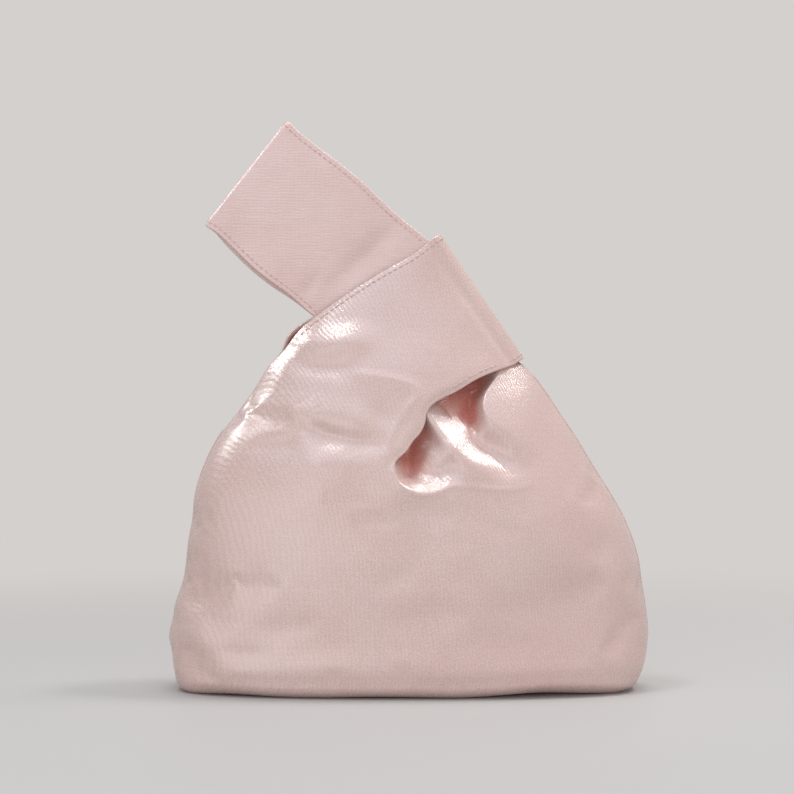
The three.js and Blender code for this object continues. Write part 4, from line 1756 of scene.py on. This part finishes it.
    def _settle(self, patches: list[Patch]) -> list[Patch]:
        """Lets the satin pucker along its seams, while hems, knot and base stay where they are.

        Args:
            patches: Grids of the satin.

        Returns:
            The same grids after a simulation on a coarser sheet.
        """
        shape, stride = self.shape, self.settling.stride
        kept = [[every(stride, size) for size in patch.points.shape[:2]] for patch in patches]
        coarse = [Patch(patch.points[np.ix_(*keep)], patch.outward) for patch, keep in zip(patches, kept)]
        sheet = make_mesh("settling_sheet", coarse)
        spots = points_of(sheet)
        x, z = spots[:, 0], spots[:, 2]
        gap = np.minimum(x - shape.left.at(z), shape.right.at(z) - x)
        outside, _ = shape.lip.near(x, z)
        near_hem, _ = shape.hem.near(x, z)
        knot = np.maximum(ease(20, 5, outside), ease(26, 8, np.abs(near_hem)))
        base, seam, handle = ease(12, 2, z), ease(2.5, 0.3, gap), ease(128, 150, z)
        hold = np.maximum.reduce([base, seam, knot * ease(70, 90, z), handle])
        seams = ease(24, 5, gap) * ease(4, 16, z) * ease(118, 95, z) * (1 - 0.5 * ease(-20, 20, x))
        gather = np.maximum(seams, 0.2 * ease(45, 20, outside) * ease(60, 85, z))
        moved = self.settling.run(sheet, np.clip(hold, 0, 1), np.clip(gather, 0, 1))
        tree = KDTree(len(spots))
        for index, spot in enumerate(spots):
            tree.insert(spot, index)
        tree.balance()
        made = []
        for patch, few, keep in zip(patches, coarse, kept):
            nearest = [tree.find(spot)[1] for spot in few.points.reshape(-1, 3)]
            shift = moved[nearest].reshape(few.points.shape)
            rows, columns = (resample(size, stations) for size, stations in zip(patch.points.shape[:2], keep))
            spread = np.einsum("rk,kcx,sc->rsx", rows, shift, columns)
            made.append(Patch(patch.points + spread, patch.outward))
        bpy.data.objects.remove(sheet)
        return made

    def build(self, wardrobe: Wardrobe) -> list[bpy.types.Object]:
        """Makes the cloth and its stitching.

        Args:
            wardrobe: The materials.

        Returns:
            The pieces.
        """
        patches = self.patches()
        patches = self._settle(patches)
        satin = make_mesh("bag_satin", patches)
        # Painted shade: how far the cloth lies sunk below its smooth fullness becomes a mask that darkens the
        # knot's deep folds towards red.
        spots = points_of(satin)
        x, z = spots[:, 0], spots[:, 2]
        sunk = self.shape.body_envelope(x, z, Side.FRONT) - np.abs(spots[:, 1])
        painted_fold_shade = ease(*self.fold_shade_depth, sunk) * ease(*self.fold_shade_left, x) * self.fold_shade_heights.at(z)
        paint(satin, FOLD_SHADE, painted_fold_shade)
        thicken(satin, self.wall)
        dress(
            satin, wardrobe.satin, Slot.SATIN, Body.BAG, "front_panel", "back_panel", "short_handle",
            "front_interfacing", "back_interfacing", "short_handle_interfacing",
        )
        lining = make_mesh("bag_lining", self._lining_patches(patches), self.lining_weld)
        thicken(lining, self.lining_wall)
        dress(
            lining, wardrobe.lining, Slot.LINING, Body.BAG,
            "front_lining", "back_lining", "short_handle_lining",
        )
        left, right = self.shape.left, self.shape.right
        threads = [
            (self._seam("left_seam_thread", left, self.left_seam_top, -1), "left_side_seam"),
            (self._seam("right_seam_thread", right, self.right_seam_top, 1), "right_side_seam"),
            (self._base_seam(), "base_seam"),
        ]
        for name, node, places, share in self._hem_rows():
            threads.append((self._stitch_row(name, places, share), node))
        for thread, node in threads:
            dress(thread, wardrobe.thread, Slot.THREAD, Body.BAG, node)
        return [satin, lining, *(thread for thread, _ in threads)]


# Long handle


@dataclass
class LongHandle:
    """The flat loop of satin that comes out of the short handle at the upper left.

    Attributes:
        exit_low: Where its lower edge leaves the short handle.
        exit_high: Where its upper edge leaves it.
        far_low: The lower corner of its far end.
        far_high: The upper corner of its far end.
        reach: Length of the free loop, from the short handle's hem to the far end.
        tail: Length that stays inside the short handle.
        tail_taper: Share of the width that the tail's upper edge draws in, beside the fold.
        exit_half: Half of the loop's depth where it leaves the short handle.
        belly_half: Half of its depth at its fullest.
        far_radius: Radius of the fold at its far end.
        width: Width of the strap.
        wall: Thickness of satin and interfacing.
        lining_wall: Thickness of the lining.
        lining_clear: From the inner face of the satin to the lining.
        lining_margin: Share of the width that the lining leaves free along each edge.
        groove: How far the topstitching pulls the cloth in.
        back_slip: How far the back's lower edge shows below the front's.
        slip_way: The way across the strap, towards its upper edge.
        tail_rows: Rows of the mesh in the tail.
        loop_rows: Rows of each half of the free loop.
        fold_rows: Rows round the fold at its far end.
        stitch: The topstitching.
        stitch_margin: From an edge to its topstitching.
        blend_reach: Half of the stretch beside the short handle's hem where the loop would flex as it swings;
            not used.
        cut: Width and length of the satin before sewing.
        lining_cut: The same for its lining.
    """

    exit_low: Point = (-44.6, 177.3)
    exit_high: Point = (10.2, 214.0)
    far_low: Point = (-97.8, 222.0)
    far_high: Point = (-59.0, 273.0)
    reach: float = 72.0
    tail: float = 38.0
    tail_taper: float = 0.36
    exit_half: float = 2.2
    belly_half: float = 3.2
    far_radius: float = 3.0
    width: float = 62.0
    wall: float = 1.3
    lining_wall: float = 0.5
    lining_clear: float = 0.05
    lining_margin: float = 0.035
    groove: float = 0.25
    back_slip: float = 1.6
    slip_way: tuple[float, float, float] = (0.64, 0.0, 0.77)
    tail_rows: int = 16
    loop_rows: int = 54
    fold_rows: int = 12
    stitch: Topstitch = Topstitch()
    stitch_margin: float = 2.4
    blend_reach: float = 6.0
    cut: Point = (0.064, 0.235)
    lining_cut: Point = (0.058, 0.228)

    def _place(self, along: Array, across: Array) -> Array:
        """Places on the flat strap.

        Args:
            along: 0 at the short handle's hem, 1 at the far end, below 0 inside the short handle.
            across: 0 at the lower edge, 1 at the upper edge.

        Returns:
            Rows of X and Z.
        """
        across = across * (1 - self.tail_taper * np.clip(-along * self.reach / self.tail, 0, 1))
        free = ease(0.05, 0.3, along) * ease(1.0, 0.9, along)
        across = across + 0.012 * free * np.sin(along * 8.0 + 0.6) * (1 - 2 * across)
        corner = 0.016 * (np.maximum(np.abs(2 * across - 1) - 0.86, 0) / 0.14) ** 2
        along = along - corner * ease(0.85, 1.0, along)
        low = np.array(self.exit_low) + np.outer(along, np.subtract(self.far_low, self.exit_low))
        high = np.array(self.exit_high) + np.outer(along, np.subtract(self.far_high, self.exit_high))
        return low * (1 - across)[:, None] + high * across[:, None]

    def _half(self, along: Array) -> Array:
        """Half of the loop's depth, from the short handle's hem at 0 to the far end at 1."""
        belly = (self.belly_half - self.exit_half) * ease(-0.05, 0.5, along) * ease(1.0, 0.45, along)
        return self.exit_half + belly + (self.far_radius - self.exit_half) * ease(0.5, 1, along)

    def _path(self, across: float) -> tuple[Array, Array]:
        """The loop seen along its edge, at one place across.

        Args:
            across: 0 at the lower edge, 1 at the upper edge.

        Returns:
            Points round the loop from the front's inner end to the back's, and the ways out.
        """
        along = np.concatenate([
            np.linspace(-self.tail / self.reach, 0, self.tail_rows)[:-1],
            np.linspace(0, 1 - self.far_radius / self.reach, self.loop_rows),
        ])
        place = self._place(along, np.full_like(along, across))
        inner = ease(0.0, 0.12, across) * ease(1.0, 0.88, across)
        dimple = 1.8 * bell(along - 0.09 - 0.08 * across, 0.06) * bell(across - 0.6, 0.3)
        fold = bell(along - 0.16 - 0.25 * across, 0.05) * bell(across - 0.12, 0.12)
        crease = dimple * ease(0.0, 0.06, along) + fold * inner
        wave = 0.35 * np.sin(along * 7 + across * 3.0) * ease(0, 0.2, along) * ease(1, 0.8, along)
        wave = wave + 0.3 * bell(along - 0.9, 0.06) * inner
        front = np.stack([place[:, 0], -self._half(along) - wave, place[:, 1]], axis=1)
        end = front[-1]
        across_step, up_step = place[-1] - place[-2]
        run = unit(np.array([across_step, 0.0, up_step]))
        bend = np.stack([
            end * [1, math.cos(turn), 1] + run * self.far_radius * math.sin(turn)
            for turn in np.linspace(0, math.pi, self.fold_rows + 1)[1:-1]
        ])
        slip = self.back_slip * (1 - across) * ease(0.0, 0.35, along) * ease(1.0, 0.75, along)
        back = (front - np.outer(slip, self.slip_way))[::-1] * [1, -1, 1]
        path = np.concatenate([front, bend, back])
        path[:, 1] += np.concatenate([crease, np.full(len(bend), crease[-1]), crease[::-1]])
        side = np.cross(run, [0.0, 1.0, 0.0])
        out = unit(np.cross(np.gradient(path, axis=0), side))
        return path, -out if out[0, 1] > 0 else out

    def patches(self) -> list[Patch]:
        """The doubled strap, with rounded edges.

        Returns:
            The cloth's outer and inner faces, which close into one body.
        """
        edge = self.wall / 2 / self.width
        rim = np.array([0.0, 0.004, edge * 0.6, edge, 0.03])
        shares = np.concatenate([rim, np.linspace(0.05, 0.95, 37), 1 - rim[::-1]])
        inwards = np.minimum(shares, 1 - shares)
        rise = np.sqrt(1 - (1 - np.minimum(inwards / edge, 1)) ** 2)
        groove = self.groove * bell(inwards * self.width - self.stitch_margin, 0.7)
        outer, inner = [], []
        for share, lift, dent in zip(shares, rise, groove):
            path, out = self._path(float(share))
            shut = np.ones((len(path), 1))
            shut[0] = shut[-1] = 0.0
            outer.append(path - out * (self.wall / 2) * (1 - lift * shut) - out * dent * shut)
            inner.append(path - out * (self.wall / 2) * (1 + lift * shut))
        return [Patch(np.stack(outer)), Patch(np.stack(inner), False)]

    def build(self, wardrobe: Wardrobe) -> list[bpy.types.Object]:
        """Makes the strap and its stitching.

        Args:
            wardrobe: The materials.

        Returns:
            The pieces.
        """
        strap = make_mesh("long_handle_satin", self.patches())
        dress(
            strap, wardrobe.strap_satin, Slot.SATIN, None, "long_handle", "long_handle_interfacing",
            "long_handle_front_bend", "long_handle_back_bend",
            "long_handle_front_tail", "long_handle_back_tail",
        )
        lining = make_mesh("long_handle_lining_strip", self._lining_patches())
        dress(lining, wardrobe.lining, Slot.LINING, None, "long_handle_lining")
        made = [strap, lining]
        margin = self.stitch_margin / self.width
        for name, node, share in (
            ("long_handle_lower_stitches", "long_handle_lower_topstitch", margin),
            ("long_handle_upper_stitches", "long_handle_upper_topstitch", 1 - margin),
        ):
            path, out = (rows[self.tail_rows : -self.tail_rows] for rows in self._path(share))
            stitches = make_mesh(name, self.stitch.patches(path - out * self.groove, out))
            made.append(dress(stitches, wardrobe.thread, Slot.THREAD, None, node))
        for piece in made:
            self._flex(piece)
        return made

    def _lining_patches(self) -> list[Patch]:
        """The strip of lining on the strap's inner face, closed on all sides.

        Returns:
            Its outer and inner faces.
        """
        shares = np.linspace(self.lining_margin, 1 - self.lining_margin, 21)
        paths = [self._path(float(share)) for share in shares]
        depth = self.wall + self.lining_clear
        outer, inner = (
            np.stack([(path - out * sunk)[2:-2] for path, out in paths])
            for sunk in (depth, depth + self.lining_wall)
        )
        inner[:, [0, -1]] = outer[:, [0, -1]]
        inner[[0, -1]] = outer[[0, -1]]
        return [Patch(outer), Patch(inner, False)]

    def _flex(self, piece: bpy.types.Object) -> None:
        """Bakes a piece's place in the frame into its mesh.

        Args:
            piece: The piece.
        """
        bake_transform(piece)


# Studio


@dataclass(frozen=True)
class Lamp:
    """A soft rectangular lamp.

    Attributes:
        name: Its name.
        place: Where it hangs, in metres.
        aim: The point that it faces, in metres.
        size: Width and height, in metres.
        power: Watts.
        colour: Colour of its light.
        mirrored: Whether glossy surfaces show it.
        lights: Whether it lights matt surfaces.
    """

    name: str
    place: tuple[float, float, float]
    aim: tuple[float, float, float]
    size: Point
    power: float
    colour: tuple[float, float, float] = (1.0, 1.0, 1.0)
    mirrored: bool = True
    lights: bool = True

    def hang(self) -> None:
        """Puts the lamp into the scene."""
        data = bpy.data.lights.new(self.name, "AREA")
        data.shape = "RECTANGLE"
        data.size, data.size_y = self.size
        data.energy = self.power
        data.color = self.colour
        made = bpy.data.objects.new(self.name, data)
        made.location = self.place
        made.visible_camera = False
        made.visible_glossy = self.mirrored
        made.visible_diffuse = self.lights
        way = Vector(self.aim) - Vector(self.place)
        made.rotation_euler = way.to_track_quat("-Z", "Y").to_euler()
        bpy.context.scene.collection.objects.link(made)


@dataclass
class Studio:
    """Floor, light and camera.

    Attributes:
        eye: Where the camera stands, in millimetres.
        lens: Focal length, in millimetres.
        sensor: Width of the sensor, in millimetres.
        floor_colour: Colour of the floor.
        floor_grain: How much darker the floor's faint grain is, as a share.
        backdrop: Colour that shows beyond the floor.
        ambient: Strength of the light from all round.
        floor_radius: Radius of the floor, in metres.
        fade: Where the floor begins and ends to merge into the backdrop, from the middle, in metres.
        lamps: The lamps.
    """

    eye: tuple[float, float, float] = (-5.3, -1000.0, 139.2)
    lens: float = 94.4
    sensor: float = 36.0
    floor_colour: Colour = srgb(197, 194, 192)
    floor_grain: float = 0.03
    backdrop: Colour = srgb(212, 208, 205)
    ambient: float = 0.4
    floor_radius: float = 3.0
    fade: Point = (0.2, 0.75)
    lamps: tuple[Lamp, ...] = (
        Lamp("window_left", (-0.95, 0.15, 0.93), (0, 0, 0.12), (0.3, 0.3), 4.6, lights=False),
        Lamp("window_above", (-0.36, -0.25, 1.18), (0, 0, 0.12), (0.2, 0.2), 2.2),
        Lamp("skylight", (-0.2, -0.75, 1.15), (0, 0, 0.12), (1.4, 0.7), 1.95, (0.66, 0.97, 1.25)),
        Lamp("softbox_right", (0.58, 0.1, 1.12), (0, 0, 0.1), (0.3, 0.16), 4.0),
        Lamp("softbox_top", (0.05, 0.15, 1.2), (0, 0, 0.1), (0.5, 0.12), 3.0),
        Lamp("fill_left", (-0.78, -1.18, 0.4), (0, 0, 0.1), (1.3, 0.75), 2.3),
        Lamp("fill_right", (1.15, -1.0, 0.4), (0, 0, 0.1), (1.2, 0.75), 2.2, mirrored=False),
        Lamp("fill_front", (0.1, -1.35, 0.27), (0, 0, 0.05), (1.6, 0.5), 4.1, mirrored=False),
        Lamp("fill_back", (0.3, 1.4, 0.5), (0, 0, 0.1), (1.6, 0.85), 2.6, mirrored=False),
    )

    def build(self) -> None:
        """Sets the stage."""
        self._floor()
        self._world()
        for lamp in self.lamps:
            lamp.hang()
        data = bpy.data.cameras.new("camera")
        data.lens = self.lens
        data.sensor_width = self.sensor
        data.clip_start = 0.05
        camera = bpy.data.objects.new("camera", data)
        camera.location = Vector(self.eye) * MM
        camera.rotation_euler = (math.pi / 2, 0, 0)
        bpy.context.scene.collection.objects.link(camera)
        bpy.context.scene.camera = camera
        bpy.context.scene.view_settings.view_transform = "Standard"

    def _floor(self) -> None:
        """A plain pale floor with a faint grain, which merges into the backdrop where the camera looks."""
        work = bmesh.new()
        bmesh.ops.create_circle(work, cap_ends=True, segments=96, radius=self.floor_radius)
        mesh = bpy.data.meshes.new("floor")
        work.to_mesh(mesh)
        work.free()
        floor = bpy.data.objects.new("floor", mesh)
        bpy.context.scene.collection.objects.link(floor)
        finish, nodes, shader = new_material("floor_paint")
        noise = nodes.feed(nodes.add("TexNoise"), Scale=9.0, Detail=3.0)
        darker = (*((1 - self.floor_grain) * part for part in self.floor_colour[:3]), 1.0)
        tint = nodes.mix(noise.outputs["Fac"], self.floor_colour, darker)
        nodes.feed(shader, Base_Color=tint, Roughness=0.55, Specular_IOR_Level=0.25)
        place = nodes.feed(nodes.add("SeparateXYZ"), Vector=nodes.add("TexCoord").outputs["Object"])
        away = nodes.math("ADD", *(nodes.math("POWER", place.outputs[axis], 2.0) for axis in "XY"))
        fade = nodes.add("MapRange", interpolation_type="SMOOTHSTEP")
        nodes.feed(fade, Value=nodes.math("SQRT", away), From_Min=self.fade[0], From_Max=self.fade[1])
        seen = nodes.math("MULTIPLY", fade.outputs[0], nodes.add("LightPath").outputs["Is Camera Ray"])
        glow = nodes.feed(nodes.add("Emission"), Color=self.backdrop, Strength=1.0)
        either = nodes.feed(nodes.add("MixShader"), i0=seen, i1=shader.outputs[0], i2=glow.outputs[0])
        nodes.feed(finish.node_tree.nodes["Material Output"], Surface=either.outputs[0])
        mesh.materials.append(finish)

    def _world(self) -> None:
        """Even light from all round, and a pale backdrop where the camera looks past the floor."""
        world = bpy.data.worlds.new("studio")
        world.use_nodes = True
        bpy.context.scene.world = world
        nodes = Nodes(world.node_tree)
        world.node_tree.nodes.clear()
        seen = nodes.add("LightPath")
        direct = nodes.math("MAXIMUM", seen.outputs["Is Camera Ray"], seen.outputs["Is Glossy Ray"])
        direct = nodes.math("MAXIMUM", direct, seen.outputs["Is Transmission Ray"])
        light = nodes.feed(nodes.add("Background"), Color=(1, 1, 1, 1), Strength=self.ambient)
        backdrop = nodes.feed(nodes.add("Background"), Color=self.backdrop, Strength=1.0)
        either = nodes.feed(nodes.add("MixShader"), i0=direct, i1=light.outputs[0], i2=backdrop.outputs[0])
        nodes.feed(nodes.add("OutputWorld"), Surface=either.outputs[0])


def main() -> None:
    """Builds the scene, piece by piece."""
    logging.basicConfig(level=logging.INFO, format="%(name)s: %(message)s")
    wardrobe = Wardrobe()
    Studio().build()
    pieces = [*Pouch().build(wardrobe), *LongHandle().build(wardrobe)]


if __name__ == "__main__":
    main()
